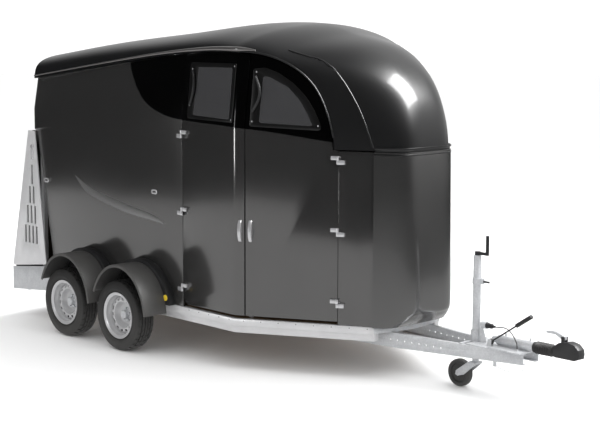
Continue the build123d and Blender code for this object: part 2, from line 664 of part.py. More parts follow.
ARM_Y = (856.0, 894.0)
beams = []
for wheel_x in WHEEL_X:
    beam_x = wheel_x + AXLE_AHEAD
    beam = block((beam_x - 36, beam_x + 36), (-ARM_Y[0], ARM_Y[0]), (282, 354))
    for side in (RIGHT, LEFT):
        y0, y1 = sorted((side * ARM_Y[0], side * ARM_Y[1]))
        beam += side_prism([(wheel_x - 30, 275), (wheel_x - 30, 322), (wheel_x + 20, 338),
                            (beam_x + 36, 354), (beam_x + 36, 290), (wheel_x + 20, 268)], y0, y1)
        beam += rod((wheel_x, side * ARM_Y[1], TYRE_R), (wheel_x, side * 1112, TYRE_R), SPINDLE_R)
        foot = sorted((side * 760, side * 850))
        beam += block((beam_x - 60, beam_x + 60), foot, (350, MEMBER_TOP))
    beams.append(beam)
save("axle_beams", *beams)

GUARD_AHEAD, GUARD_LONG, GUARD_HIGH = 40.0, 378.0, 440.0
INNER_LONG, INNER_HIGH = 424.0, 466.0
GUARD_REAR_Z, GUARD_FRONT_Z = 470.0, 352.0


def oval(x, long, high, start=0.0, end=180.0, steps=24):
    """Points of an upright half-oval over a wheel, ahead of its axle."""
    angles = [math.radians(start + (end - start) * k / steps) for k in range(steps + 1)]
    return [(x + GUARD_AHEAD + long * math.cos(a), TYRE_R + high * math.sin(a)) for a in angles]


def mudguard(x):
    """A thin arched guard with a lip on its outer side (left side)."""
    start = math.degrees(math.asin((GUARD_FRONT_Z - TYRE_R) / GUARD_HIGH))
    end = 180 - math.degrees(math.asin((GUARD_REAR_Z - TYRE_R) / GUARD_HIGH))
    outer = oval(x, GUARD_LONG, GUARD_HIGH, start, end)
    guard = side_prism(outer + oval(x, GUARD_LONG - GUARD_T, GUARD_HIGH - GUARD_T, start, end)[::-1],
                       *GUARD_Y)
    lip = outer + oval(x, GUARD_LONG - 24, GUARD_HIGH - 24, start, end)[::-1]
    return guard + side_prism(lip, GUARD_Y[1] - GUARD_T, GUARD_Y[1])


guards = [mudguard(x) for x in WHEEL_X]
save("mudguards_left", *guards)
save("mudguards_right", *[mirrored(g) for g in guards])

inner_y = (HALF_WIDTH + 0.3, GUARD_Y[0] - 0.3)
shell_out = side_prism(oval(WHEEL_X[0], INNER_LONG, INNER_HIGH), *inner_y)
shell_out += side_prism(oval(WHEEL_X[1], INNER_LONG, INNER_HIGH), *inner_y)
for wheel_x in WHEEL_X:
    shell_out -= side_prism(oval(wheel_x, INNER_LONG - 6, INNER_HIGH - 6), inner_y[0] - 1, inner_y[1] - 6)
    shell_out -= side_prism(oval(wheel_x, GUARD_LONG - 12, GUARD_HIGH - 12), inner_y[0] - 1, inner_y[1] + 1)
shell_out &= block((-3000, 0), (900, 1100), (SILL_TOP + 1.5, 900))
save("inner_guards", shell_out, mirrored(shell_out))


def tie_ring(x, z):
    """A flat oval fitting on the right-hand wall."""
    ring_plate = SlotOverall(78, 40) - SlotOverall(46, 14)
    return Plane(origin=(x, -HALF_WIDTH - 0.3, z), x_dir=(1, 0, 0), z_dir=(0, -1, 0)) * extrude(
        ring_plate, 9)


save("tie_rings", *[tie_ring(x, z) for x, z in ((-2595, 1306), (-1008, 1340))])


# ---------------------------------------------------------------- drawbar
RAIL_REAR = (-150.0, 374.0)
RAIL_FRONT = (RAIL_FRONT_X, RAIL_FRONT_Y)
HOLE_Z = 314.0


def drawbar_rail():
    """A tapering channel, open towards the centre, with a row of holes (left side)."""
    run = Vector(RAIL_FRONT[0] - RAIL_REAR[0], RAIL_FRONT[1] - RAIL_REAR[1])
    length = run.length
    plane = Plane(origin=(*RAIL_REAR, 0), x_dir=(run.X, run.Y, 0), z_dir=(0, 0, 1))
    knee = length * 0.5
    outline = [(0, RAIL_TOP), (0, RAIL_TOP - RAIL_DEPTH_REAR), (knee, RAIL_TOP - RAIL_DEPTH_REAR),
               (length, RAIL_TOP - RAIL_DEPTH_FRONT), (length, RAIL_TOP)]
    inner = [(-1, RAIL_TOP - 6), (-1, RAIL_TOP - RAIL_DEPTH_REAR + 6),
             (knee, RAIL_TOP - RAIL_DEPTH_REAR + 6), (length + 1, RAIL_TOP - RAIL_DEPTH_FRONT + 6),
             (length + 1, RAIL_TOP - 6)]
    rail = side_prism(outline, -RAIL_FLANGE, 0) - side_prism(inner, -RAIL_FLANGE - 1, -RAIL_WEB)
    for k in range(8):
        x = 1180 + 67 * k
        rail -= rod((x, -40, HOLE_Z), (x, 10, HOLE_Z), 7)
    return plane * rail


save("drawbar_rails", drawbar_rail(), mirrored(drawbar_rail()))

HOUSING_FOOT = RAIL_REST + 12
GLAND_TOP = HOUSING_FOOT + 10
housing = rod((HOUSING_X[0], 0, SHAFT_Z), (HOUSING_X[1], 0, SHAFT_Z), HOUSING_R)
housing += block((HOUSING_X[0], 2190), (-128, 128), (RAIL_REST, HOUSING_FOOT))
housing += block((HOUSING_X[0] + 20, 2180), (-22, 22), (HOUSING_FOOT, SHAFT_Z))
housing += rod((1965, 0, SHAFT_Z + 30), (1965, 0, SHAFT_Z + 58), 7)
housing += rod((2190, 0, SHAFT_Z + 30), (2190, 0, SHAFT_Z + 58), 7)
housing -= rod((HOUSING_X[0] - 1, 0, SHAFT_Z), (HOUSING_X[1] + 1, 0, SHAFT_Z), SHAFT_R + RUNNING)
housing += rod((2118, -62, HOUSING_FOOT), (2118, -62, GLAND_TOP), 9)
save("coupling_housing", housing)

save("overrun_shaft", rod((HOUSING_X[0] - 50, 0, SHAFT_Z), (HEAD_X + 25, 0, SHAFT_Z), SHAFT_R))

folds = 7
bellow_profile = [(HOUSING_X[1] + 0.3, SHAFT_R + 1)]
for k in range(2 * folds + 1):
    x = HOUSING_X[1] + 0.3 + (HEAD_X - HOUSING_X[1] - 0.6) * k / (2 * folds)
    bellow_profile.append((x, 47 if k % 2 else 37))
bellow_profile.append((HEAD_X - 0.3, SHAFT_R + 1))
bellow_face = make_face(Polyline(*[(x, 0, SHAFT_Z + r) for x, r in bellow_profile], close=True))
save("bellows", revolve(bellow_face, Axis((0, 0, SHAFT_Z), (1, 0, 0)), 360))

LEVER_PIVOT = (2490.0, 528.0)
EAR_Y = (15.0, 23.0)
head = side_prism([(HEAD_X, 392), (HEAD_X, 452), (2462, 492), (2540, 508), (2600, 496), (2634, 464),
                   (2641, 430), (2636, 398), (2600, 384), (2440, 384)], -36, 36)
head -= Pos(BALL_X, 0, 402) * Sphere(BALL_R + 0.4)
head -= rod((BALL_X, 0, 380), (BALL_X, 0, 402), BALL_R + 0.4)
head -= rod((HEAD_X - 1, 0, SHAFT_Z), (HEAD_X + 25.3, 0, SHAFT_Z), SHAFT_R + 0.3)
for side in (RIGHT, LEFT):
    y0, y1 = sorted((side * EAR_Y[0], side * EAR_Y[1]))
    head += block((LEVER_PIVOT[0] - 14, LEVER_PIVOT[0] + 14), (y0, y1), (485, LEVER_PIVOT[1] + 10))
head += rod((LEVER_PIVOT[0], -EAR_Y[1], LEVER_PIVOT[1]), (LEVER_PIVOT[0], EAR_Y[1], LEVER_PIVOT[1]), 5)
save("coupling_head", head)

lever = side_prism([(2334, 552), (2345, 562), (2420, 566), (2500, 542), (2503, 516), (2480, 514),
                    (2418, 546), (2350, 544)], -14, 14)
lever -= rod((LEVER_PIVOT[0], -20, LEVER_PIVOT[1]), (LEVER_PIVOT[0], 20, LEVER_PIVOT[1]), 5 + RUNNING)
save("coupling_lever", lever)

BRAKE_PIVOT = (1880.0, -66.0, 412.0)
BRAKE_END = (2245.0, 655.0)
brake_run = Vector(BRAKE_END[0] - BRAKE_PIVOT[0], BRAKE_END[1] - BRAKE_PIVOT[2])
brake_dir = brake_run.normalized()


def brake_point(along, out=0.0):
    """A point on the brake lever's centre line, with its Y."""
    return (BRAKE_PIVOT[0] + brake_dir.X * along - brake_dir.Y * out, BRAKE_PIVOT[1],
            BRAKE_PIVOT[2] + brake_dir.Y * along + brake_dir.X * out)


def across(point, half):
    """Start and end of a pin across the trailer through a point."""
    x, y, z = point
    return (x, y - half, z), (x, y + half, z)


brake = rod(*across(BRAKE_PIVOT, 7), 22) + rod(brake_point(12), brake_point(brake_run.length - 160), 6)
brake += rod(brake_point(brake_run.length - 160), brake_point(brake_run.length), 16)
brake -= rod(*across(BRAKE_PIVOT, 10), 9 + RUNNING)
save("handbrake_lever", brake)

collar_z = (RAIL_REST, RAIL_REST + 90)
brackets = rod((JOCKEY_X, 0, collar_z[0]), (JOCKEY_X, 0, collar_z[1]), 40, JOCKEY_R + 0.3)
brackets += block((1640, 1668), (-150, 150), (RAIL_REST, RAIL_REST + 8)) - rod(
    (JOCKEY_X, 0, 300), (JOCKEY_X, 0, 500), 35)
brackets += block((1696, 1890), (-136, 136), (RAIL_REST, RAIL_REST + 8)) - rod(
    (JOCKEY_X, 0, 300), (JOCKEY_X, 0, 500), 35)
brackets += side_prism([(1718, RAIL_REST), (1718, 484), (1752, 484), (1790, RAIL_REST)], -8, 0)
brackets += rod((1738, 0, 509), (1784, 0, 509), 27, 23)
for y0, y1 in ((-84, -74), (-58, -50)):
    brackets += side_prism([(1850, RAIL_REST), (1862, 430), (1889, 430), (1889, RAIL_REST)], y0, y1)
brackets += rod((BRAKE_PIVOT[0], -84, BRAKE_PIVOT[2]), (BRAKE_PIVOT[0], -50, BRAKE_PIVOT[2]), 9)
lug = block((1944, 1965.6), (-119, -105), (244, 283))
save("drawbar_brackets", brackets, lug)

PLUG_X = (1752.0, 1862.0)
plug = rod((PLUG_X[0], 0, 509), (1800, 0, 509), 22.6) + rod((1800, 0, 509), (1836, 0, 509), 19)
plug += rod((1836, 0, 509), (PLUG_X[1], 0, 509), 10)
save("plug", plug)


def cord(name, points, diameter):
    """A free cord: straight runs joined by arcs as large as their runs allow."""
    runs = [Vector(*b) - Vector(*a) for a, b in zip(points, points[1:])]
    radii = []
    for first, second in zip(runs, runs[1:]):
        half_turn = math.radians(first.get_angle(second)) / 2
        radii.append(0.45 * min(first.length, second.length) / math.tan(half_turn))
    path = FilletPolyline(*points, radius=radii)
    start = Plane(origin=points[0], z_dir=runs[0])
    tube = sweep(start * Circle(diameter / 2), path=path)
    share = tube.volume / (math.pi * diameter ** 2 / 4 * path.length)
    print(name, "radii", [round(r) for r in radii], "volume share", round(share, 4))
    save(name, tube)


PLUG_CABLE = 8.0
cord("plug_cable", [(1862.4, 0, 509), (1899, -1, 511), (1950, -8, 520), (2003, -20, 513),
                    (2050, -36, 491), (2090, -51, 460), (2118, -62, 426), (2118, -62, GLAND_TOP + 0.3)],
     PLUG_CABLE)
BREAKAWAY = 5.0
cord("breakaway_cable", [(1967.5, -112, 252), (2001, -108, 236), (2050, -103, 226), (2103, -98, 226),
                         (2154, -93, 236), (2199, -88, 256), (2232, -84, 284)], BREAKAWAY)

rod_z = 300.0
save("brake_rod", rod((WHEEL_X[1] + AXLE_AHEAD + 36.3, 60, rod_z), (1835, 60, rod_z), 6))

# ---------------------------------------------------------------- jockey wheel
cap_z = JOCKEY_TOP - 20
tube = rod((JOCKEY_X, 0, JOCKEY_BOTTOM), (JOCKEY_X, 0, JOCKEY_TOP), JOCKEY_R)
tube -= rod((JOCKEY_X, 0, JOCKEY_BOTTOM - 1), (JOCKEY_X, 0, cap_z), LEG_R + RUNNING)
tube -= rod((JOCKEY_X, 0, cap_z - 1), (JOCKEY_X, 0, JOCKEY_TOP + 1), 9 + RUNNING)
tube += rod((JOCKEY_X, 0, 812), (JOCKEY_X, 0, 858), 36, JOCKEY_R - 1)
tube += block((JOCKEY_X + 32, JOCKEY_X + 62), (-12, -5), (815, 855))
tube += block((JOCKEY_X + 32, JOCKEY_X + 62), (5, 12), (815, 855))
tube += rod((JOCKEY_X + 50, -12, 835), (JOCKEY_X + 50, 12, 835), 5)
save("jockey_tube", tube)

clamp = rod((JOCKEY_X + 50, -4.5, 835), (JOCKEY_X + 50, 4.5, 835), 11)
clamp += block((JOCKEY_X + 50, JOCKEY_X + 118), (-4.5, 4.5), (828, 842))
clamp -= rod((JOCKEY_X + 50, -5, 835), (JOCKEY_X + 50, 5, 835), 5 + RUNNING)
save("clamp_lever", clamp)

crank = rod((JOCKEY_X, 0, cap_z - 8), (JOCKEY_X, 0, JOCKEY_TOP + 3), 9)
crank += rod((JOCKEY_X, 0, JOCKEY_TOP + 0.3), (JOCKEY_X, 0, JOCKEY_TOP + 28), 22)
crank += block((JOCKEY_X, JOCKEY_X + 98), (-11, 11), (JOCKEY_TOP + 6, JOCKEY_TOP + 26))
crank += rod((JOCKEY_X + 92, 0, JOCKEY_TOP + 6), (JOCKEY_X + 92, 0, 1183), 13)
save("jockey_crank", crank)

STEM_R = 12.0
LEG_FOOT = 216.0
leg = rod((JOCKEY_X, 0, LEG_FOOT), (JOCKEY_X, 0, 760), LEG_R)
leg -= rod((JOCKEY_X, 0, LEG_FOOT - 1), (JOCKEY_X, 0, LEG_FOOT + 45), STEM_R + RUNNING)
save("jockey_leg", leg)

fork_y = (SMALL_WHEEL_W / 2 + 4, SMALL_WHEEL_W / 2 + 10)
axle = (SMALL_WHEEL_X, SMALL_WHEEL_R)
fork = rod((JOCKEY_X, 0, 200), (JOCKEY_X, 0, LEG_FOOT + 40), STEM_R)
fork += block((1646, 1712), (-fork_y[1], fork_y[1]), (200, LEG_FOOT - 0.3))
for side in (RIGHT, LEFT):
    y0, y1 = sorted((side * fork_y[0], side * fork_y[1]))
    fork += side_prism([(1712, 200), (1712, LEG_FOOT - 0.3), (1646, LEG_FOOT - 0.3), (1524, 126),
                        (1518, 96), (1540, 86), (1600, 106)], y0, y1)
fork += rod((axle[0], -fork_y[1] - 5, axle[1]), (axle[0], fork_y[1] + 5, axle[1]), 8)
save("jockey_fork", fork)

half_w = SMALL_WHEEL_W / 2
wheel_profile = [(8 + RUNNING, half_w), (24, half_w), (30, 12), (70, 12), (76, half_w - 4),
                 (94, half_w), (104, half_w - 9), (SMALL_WHEEL_R, 12)]
wheel_profile += [(r, -y) for r, y in wheel_profile[::-1]]
wheel_face = make_face(Polyline(*[(axle[0], y, axle[1] + r) for r, y in wheel_profile], close=True))
save("jockey_wheel", revolve(wheel_face, Axis((axle[0], 0, axle[1]), (0, 1, 0)), 360))
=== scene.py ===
import json
import logging
import math
from dataclasses import dataclass, field
from enum import Enum
from typing import Callable, Iterable, Sequence

import bmesh
import bpy
from mathutils import Matrix, Vector


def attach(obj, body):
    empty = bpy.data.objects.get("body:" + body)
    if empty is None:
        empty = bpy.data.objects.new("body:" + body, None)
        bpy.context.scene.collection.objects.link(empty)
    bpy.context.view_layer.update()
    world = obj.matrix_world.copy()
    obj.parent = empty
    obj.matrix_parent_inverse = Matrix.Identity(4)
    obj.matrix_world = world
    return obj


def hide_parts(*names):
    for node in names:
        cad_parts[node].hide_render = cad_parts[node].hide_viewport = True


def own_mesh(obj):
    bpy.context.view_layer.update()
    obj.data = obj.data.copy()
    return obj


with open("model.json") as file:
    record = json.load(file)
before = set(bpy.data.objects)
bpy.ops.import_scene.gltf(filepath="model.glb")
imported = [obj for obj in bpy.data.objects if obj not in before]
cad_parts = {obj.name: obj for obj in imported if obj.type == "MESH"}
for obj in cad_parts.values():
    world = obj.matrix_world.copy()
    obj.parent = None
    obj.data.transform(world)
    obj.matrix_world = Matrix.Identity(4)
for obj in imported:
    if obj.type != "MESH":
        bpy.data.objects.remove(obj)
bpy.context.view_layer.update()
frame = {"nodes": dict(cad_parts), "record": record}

logging.basicConfig(level=logging.INFO, format="%(levelname)s %(message)s")
LOG = logging.getLogger("trailer")

Pair = tuple[float, float]
Point = tuple[float, float, float]
Colour = tuple[float, float, float]

KINK_X = 0.2745            # the kink in the side walls, from the frame's origin
HALF_WIDTH = 0.942
TAPER_IN, TAPER_LENGTH = 0.568, 0.996
TAPER = math.atan2(TAPER_IN, TAPER_LENGTH)
BELT_Z = 1.950             # the walls lean inward above this height
LEAN = math.radians(5.94)
FLANGE = 0.020             # how far the hood stands proud of the walls
GROOVE_Z = 1.785
SHARP = math.radians(34)   # edges that turn more than this stay crisp


# ---------------------------------------------------------------- the shell's own geometry
def side_line(x: float, z: float = 0.0) -> float:
    """Half-width of the walls' outer face.

    Args:
        x: Distance ahead of the kink.
        z: Height above the ground.

    Returns:
        The half-width there.
    """
    return HALF_WIDTH - max(0.0, x) * TAPER_IN / TAPER_LENGTH - math.tan(LEAN) * max(0.0, z - BELT_Z)


def wall_point(x: float, z: float, out: float = 0.0) -> Vector:
    """A point on the right-hand wall.

    Args:
        x: Distance ahead of the kink.
        z: Height above the ground.
        out: Distance outward from the wall's face.

    Returns:
        The point in the frame.
    """
    normal = Vector((math.sin(TAPER), -math.cos(TAPER), 0)) if x > 0 else Vector((0, -1, 0))
    return Vector((x + KINK_X, -side_line(x, z), z)) + normal * out


def at(x: float, y: float, z: float) -> Vector:
    """The frame's point for a place given from the kink."""
    return Vector((x + KINK_X, y, z))


def smooth_rows(table: Sequence[tuple[float, ...]], steps: int) -> list[tuple[float, ...]]:
    """Extra rows blended into a table along a curve through its own rows.

    Args:
        table: Rows of numbers in order.
        steps: How many steps replace each gap.

    Returns:
        The longer table.
    """
    rows: list[tuple[float, ...]] = []
    for i in range(len(table) - 1):
        before, low = table[max(i - 1, 0)], table[i]
        high, after = table[i + 1], table[min(i + 2, len(table) - 1)]
        for k in range(steps):
            t = k / steps
            rows.append(tuple(
                0.5 * (2 * b + (c - a) * t + (2 * a - 5 * b + 4 * c - d) * t ** 2
                       + (3 * b - a - 3 * c + d) * t ** 3)
                for a, b, c, d in zip(before, low, high, after)))
    return rows + [tuple(table[-1])]


# ---------------------------------------------------------------- finishes
DUST = (0.32, 0.31, 0.29)
DUST_SCALE = 6.0           # patches per metre
BUMP_STRENGTH = 0.6
COAT_ROUGHNESS = 0.04
GLAZING_IOR = 1.2


class Pattern(Enum):
    """How a finish varies over its surface."""

    CLOUD = "cloud"
    SPANGLE = "spangle"
    GRAIN = "grain"
    BRUSHED = "brushed"
    PLY = "ply"


def map_range(tree: bpy.types.NodeTree, limits: Sequence[float],
              smooth: bool = False) -> bpy.types.Node:
    """A map range node.

    Args:
        tree: The node tree that gets it.
        limits: From min, from max, to min and to max.
        smooth: Whether it eases in and out.

    Returns:
        The node.
    """
    node = tree.nodes.new("ShaderNodeMapRange")
    for key, value in zip(("From Min", "From Max", "To Min", "To Max"), limits):
        node.inputs[key].default_value = value
    if smooth:
        node.interpolation_type = "SMOOTHSTEP"
    return node


def blend(tree: bpy.types.NodeTree, low: Colour | None, high: Colour) -> bpy.types.Node:
    """A colour mix node.

    Args:
        tree: The node tree that gets it.
        low: Its first colour, or None where a link brings it.
        high: Its second colour.

    Returns:
        The node.
    """
    node = tree.nodes.new("ShaderNodeMix")
    node.data_type = "RGBA"
    if low is not None:
        node.inputs[6].default_value = (*low, 1)
    node.inputs[7].default_value = (*high, 1)
    return node


class ShaderKit:
    """Shared node groups, each built once."""

    def __init__(self) -> None:
        """Builds every group."""
        self.groups = {Pattern.CLOUD: self._cloud(), Pattern.SPANGLE: self._spangle(),
                       Pattern.GRAIN: self._grain(), Pattern.BRUSHED: self._brushed(),
                       Pattern.PLY: self._ply()}
        self.dust = self._dust()

    @staticmethod
    def _start(name: str) -> tuple[bpy.types.NodeTree, bpy.types.Node, bpy.types.Node]:
        """An empty group with a scale input and mask and height outputs."""
        tree = bpy.data.node_groups.new(name, "ShaderNodeTree")
        tree.interface.new_socket("Vector", in_out="INPUT", socket_type="NodeSocketVector")
        tree.interface.new_socket("Scale", in_out="INPUT", socket_type="NodeSocketFloat")
        tree.interface.new_socket("Mask", in_out="OUTPUT", socket_type="NodeSocketFloat")
        tree.interface.new_socket("Height", in_out="OUTPUT", socket_type="NodeSocketFloat")
        return tree, tree.nodes.new("NodeGroupInput"), tree.nodes.new("NodeGroupOutput")

    @staticmethod
    def _noise(tree: bpy.types.NodeTree, vector: bpy.types.NodeSocket, scale: bpy.types.NodeSocket,
               detail: float, factor: float = 1.0) -> bpy.types.NodeSocket:
        """A noise texture on a vector; factor multiplies the scale."""
        times = tree.nodes.new("ShaderNodeMath")
        times.operation = "MULTIPLY"
        times.inputs[1].default_value = factor
        noise = tree.nodes.new("ShaderNodeTexNoise")
        noise.inputs["Detail"].default_value = detail
        tree.links.new(scale, times.inputs[0])
        tree.links.new(times.outputs[0], noise.inputs["Scale"])
        tree.links.new(vector, noise.inputs["Vector"])
        return noise.outputs["Fac"]

    def _cloud(self) -> bpy.types.NodeTree:
        """Broad soft patches with a fine orange-peel height."""
        tree, inp, out = self._start("cloud")
        tree.links.new(self._noise(tree, inp.outputs[0], inp.outputs[1], 3.0), out.inputs[0])
        tree.links.new(self._noise(tree, inp.outputs[0], inp.outputs[1], 1.0, 40.0), out.inputs[1])
        return tree

    def _spangle(self) -> bpy.types.NodeTree:
        """Crystal patches of a zinc coat."""
        tree, inp, out = self._start("zinc spangle")
        cells = tree.nodes.new("ShaderNodeTexVoronoi")
        cells.inputs["Randomness"].default_value = 1.0
        grey = tree.nodes.new("ShaderNodeRGBToBW")
        tree.links.new(inp.outputs[0], cells.inputs["Vector"])
        tree.links.new(inp.outputs[1], cells.inputs["Scale"])
        tree.links.new(cells.outputs["Color"], grey.inputs[0])
        mix = tree.nodes.new("ShaderNodeMath")
        mix.operation = "MULTIPLY_ADD"
        mix.inputs[1].default_value = 0.5
        cloud = self._noise(tree, inp.outputs[0], inp.outputs[1], 4.0, 0.12)
        tree.links.new(grey.outputs[0], mix.inputs[0])
        tree.links.new(cloud, mix.inputs[2])
        tree.links.new(mix.outputs[0], out.inputs[0])
        tree.links.new(self._noise(tree, inp.outputs[0], inp.outputs[1], 2.0, 3.0), out.inputs[1])
        return tree

    def _grain(self) -> bpy.types.NodeTree:
        """The pebbled skin of a moulding."""
        tree, inp, out = self._start("moulded grain")
        cells = tree.nodes.new("ShaderNodeTexVoronoi")
        cells.feature = "SMOOTH_F1"
        tree.links.new(inp.outputs[0], cells.inputs["Vector"])
        tree.links.new(inp.outputs[1], cells.inputs["Scale"])
        tree.links.new(self._noise(tree, inp.outputs[0], inp.outputs[1], 3.0, 0.03), out.inputs[0])
        tree.links.new(cells.outputs["Distance"], out.inputs[1])
        return tree

    def _brushed(self) -> bpy.types.NodeTree:
        """Fine lines along the trailer, as on extruded metal."""
        tree, inp, out = self._start("brushed lines")
        stretch = tree.nodes.new("ShaderNodeMapping")
        stretch.inputs["Scale"].default_value = (0.02, 1.0, 1.0)
        tree.links.new(inp.outputs[0], stretch.inputs["Vector"])
        lines = self._noise(tree, stretch.outputs[0], inp.outputs[1], 3.0)
        tree.links.new(self._noise(tree, inp.outputs[0], inp.outputs[1], 3.0, 0.02), out.inputs[0])
        tree.links.new(lines, out.inputs[1])
        return tree

    def _ply(self) -> bpy.types.NodeTree:
        """Long wood grain along the trailer."""
        tree, inp, out = self._start("ply grain")
        stretch = tree.nodes.new("ShaderNodeMapping")
        stretch.inputs["Scale"].default_value = (0.12, 1.0, 1.0)
        tree.links.new(inp.outputs[0], stretch.inputs["Vector"])
        rings = self._noise(tree, stretch.outputs[0], inp.outputs[1], 6.0)
        tree.links.new(rings, out.inputs[0])
        tree.links.new(rings, out.inputs[1])
        return tree

    def _dust(self) -> bpy.types.NodeTree:
        """A thin settling of road dust that fades out with height."""
        tree, inp, out = self._start("road dust")
        split = tree.nodes.new("ShaderNodeSeparateXYZ")
        fade = map_range(tree, (0.0, 0.55, 0.16, 0.0))
        patch = self._noise(tree, inp.outputs[0], inp.outputs[1], 5.0)
        times = tree.nodes.new("ShaderNodeMath")
        times.operation = "MULTIPLY"
        tree.links.new(inp.outputs[0], split.inputs[0])
        tree.links.new(split.outputs["Z"], fade.inputs["Value"])
        tree.links.new(fade.outputs[0], times.inputs[0])
        tree.links.new(patch, times.inputs[1])
        tree.links.new(times.outputs[0], out.inputs[0])
        tree.links.new(patch, out.inputs[1])
        return tree


@dataclass(frozen=True)
class Finish:
    """A material: two tones mixed by a pattern, a range of roughness and a fine height.

    Attributes:
        name: The material's name.
        tone: Its main colour, linear.
        shade: The colour its pattern mixes in.
        rough: Lowest and highest roughness.
        metal: Metallic share.
        pattern: Which group varies it.
        scale: The pattern's scale per metre.
        bump: Depth of its fine relief, in metres.
        coat: Clear coat weight.
    """

    name: str
    tone: Colour
    shade: Colour
    rough: Pair = (0.3, 0.4)
    metal: float = 0.0
    pattern: Pattern = Pattern.CLOUD
    scale: float = 4.0
    bump: float = 0.00005
    coat: float = 0.0

    def colour(self, mat: bpy.types.Material, coords: bpy.types.NodeSocket,
               base: bpy.types.NodeSocket) -> bpy.types.NodeSocket:
        """The colour that reaches the shader; a finish with zones overrides this."""
        return base

    def build(self, kit: ShaderKit) -> bpy.types.Material:
        """Makes the material.

        Args:
            kit: The shared node groups.

        Returns:
            The new material.
        """
        mat = bpy.data.materials.new(self.name)
        mat.use_nodes = True
        nodes, links = mat.node_tree.nodes, mat.node_tree.links
        shader = nodes["Principled BSDF"]
        coords = nodes.new("ShaderNodeTexCoord").outputs["Object"]
        vary = nodes.new("ShaderNodeGroup")
        vary.node_tree = kit.groups[self.pattern]
        vary.inputs["Scale"].default_value = self.scale
        links.new(coords, vary.inputs["Vector"])
        tones = blend(mat.node_tree, self.tone, self.shade)
        links.new(vary.outputs["Mask"], tones.inputs[0])
        dust = nodes.new("ShaderNodeGroup")
        dust.node_tree = kit.dust
        dust.inputs["Scale"].default_value = DUST_SCALE
        links.new(coords, dust.inputs["Vector"])
        dusty = blend(mat.node_tree, None, DUST)
        links.new(dust.outputs["Mask"], dusty.inputs[0])
        links.new(self.colour(mat, coords, tones.outputs[2]), dusty.inputs[6])
        links.new(dusty.outputs[2], shader.inputs["Base Color"])
        rough = map_range(mat.node_tree, (0.0, 1.0, *self.rough))
        links.new(vary.outputs["Mask"], rough.inputs["Value"])
        links.new(rough.outputs[0], shader.inputs["Roughness"])
        bump = nodes.new("ShaderNodeBump")
        bump.inputs["Strength"].default_value = BUMP_STRENGTH
        bump.inputs["Distance"].default_value = self.bump
        links.new(vary.outputs["Height"], bump.inputs["Height"])
        links.new(bump.outputs[0], shader.inputs["Normal"])
        shader.inputs["Metallic"].default_value = self.metal
        shader.inputs["Coat Weight"].default_value = self.coat
        shader.inputs["Coat Roughness"].default_value = COAT_ROUGHNESS
        return mat


@dataclass(frozen=True)
class BeltedLacquer(Finish):
    """Body lacquer that turns black above a belt line which sweeps up towards the rear.

    Attributes:
        black: The colour above the line.
        span: Lowest and highest height that the line's curve covers.
        blur: Half the width of the change of colour, as a share of the span.
        line: Places along the trailer from the kink, and the line's height at each.
    """

    black: Colour = (0.006, 0.006, 0.0065)
    span: Pair = (1.7, 2.7)
    blur: float = 0.001
    line: tuple[Pair, ...] = ((-1.42, 2.60), (-1.381, 2.396), (-1.328, 2.28), (-1.234, 2.159),
                              (-1.126, 2.072), (-0.966, 2.009), (-0.822, 1.975), (-0.641, 1.958),
                              (0.074, 1.925), (0.73, 1.833), (1.10, 1.786))

    def colour(self, mat: bpy.types.Material, coords: bpy.types.NodeSocket,
               base: bpy.types.NodeSocket) -> bpy.types.NodeSocket:
        """Mixes the black in above the belt line.

        Args:
            mat: The material under way.
            coords: Object coordinates.
            base: The lacquer's own colour.

        Returns:
            The mixed colour.
        """
        nodes, links = mat.node_tree.nodes, mat.node_tree.links
        low, high = self.span
        first, last = self.line[0][0], self.line[-1][0]
        split = nodes.new("ShaderNodeSeparateXYZ")
        along = map_range(mat.node_tree, (first + KINK_X, last + KINK_X, 0.0, 1.0))
        curve = nodes.new("ShaderNodeFloatCurve")
        points = curve.mapping.curves[0].points
        spots = [((x - first) / (last - first), (z - low) / (high - low)) for x, z in self.line]
        points[0].location, points[1].location = spots[0], spots[-1]
        for spot in spots[1:-1]:
            points.new(*spot)
        curve.mapping.update()
        height = map_range(mat.node_tree, (low, high, 0.0, 1.0))
        over = nodes.new("ShaderNodeMath")
        over.operation = "SUBTRACT"
        mask = map_range(mat.node_tree, (-self.blur, self.blur, 0.0, 1.0))
        mix = blend(mat.node_tree, None, self.black)
        links.new(coords, split.inputs[0])
        links.new(split.outputs["X"], along.inputs["Value"])
        links.new(along.outputs[0], curve.inputs["Value"])
        links.new(split.outputs["Z"], height.inputs["Value"])
        links.new(height.outputs[0], over.inputs[0])
        links.new(curve.outputs[0], over.inputs[1])
        links.new(over.outputs[0], mask.inputs["Value"])
        links.new(mask.outputs[0], mix.inputs[0])
        links.new(base, mix.inputs[6])
        return mix.outputs[2]


@dataclass(frozen=True)
class Glazing(Finish):
    """Tinted see-through sheet.

    Attributes:
        clear: Share of the light that passes.
    """

    clear: float = 0.75

    def build(self, kit: ShaderKit) -> bpy.types.Material:
        """Makes the material and sets its plain transmission."""
        mat = super().build(kit)
        shader = mat.node_tree.nodes["Principled BSDF"]
        shader.inputs["Transmission Weight"].default_value = self.clear
        shader.inputs["IOR"].default_value = GLAZING_IOR
        return mat


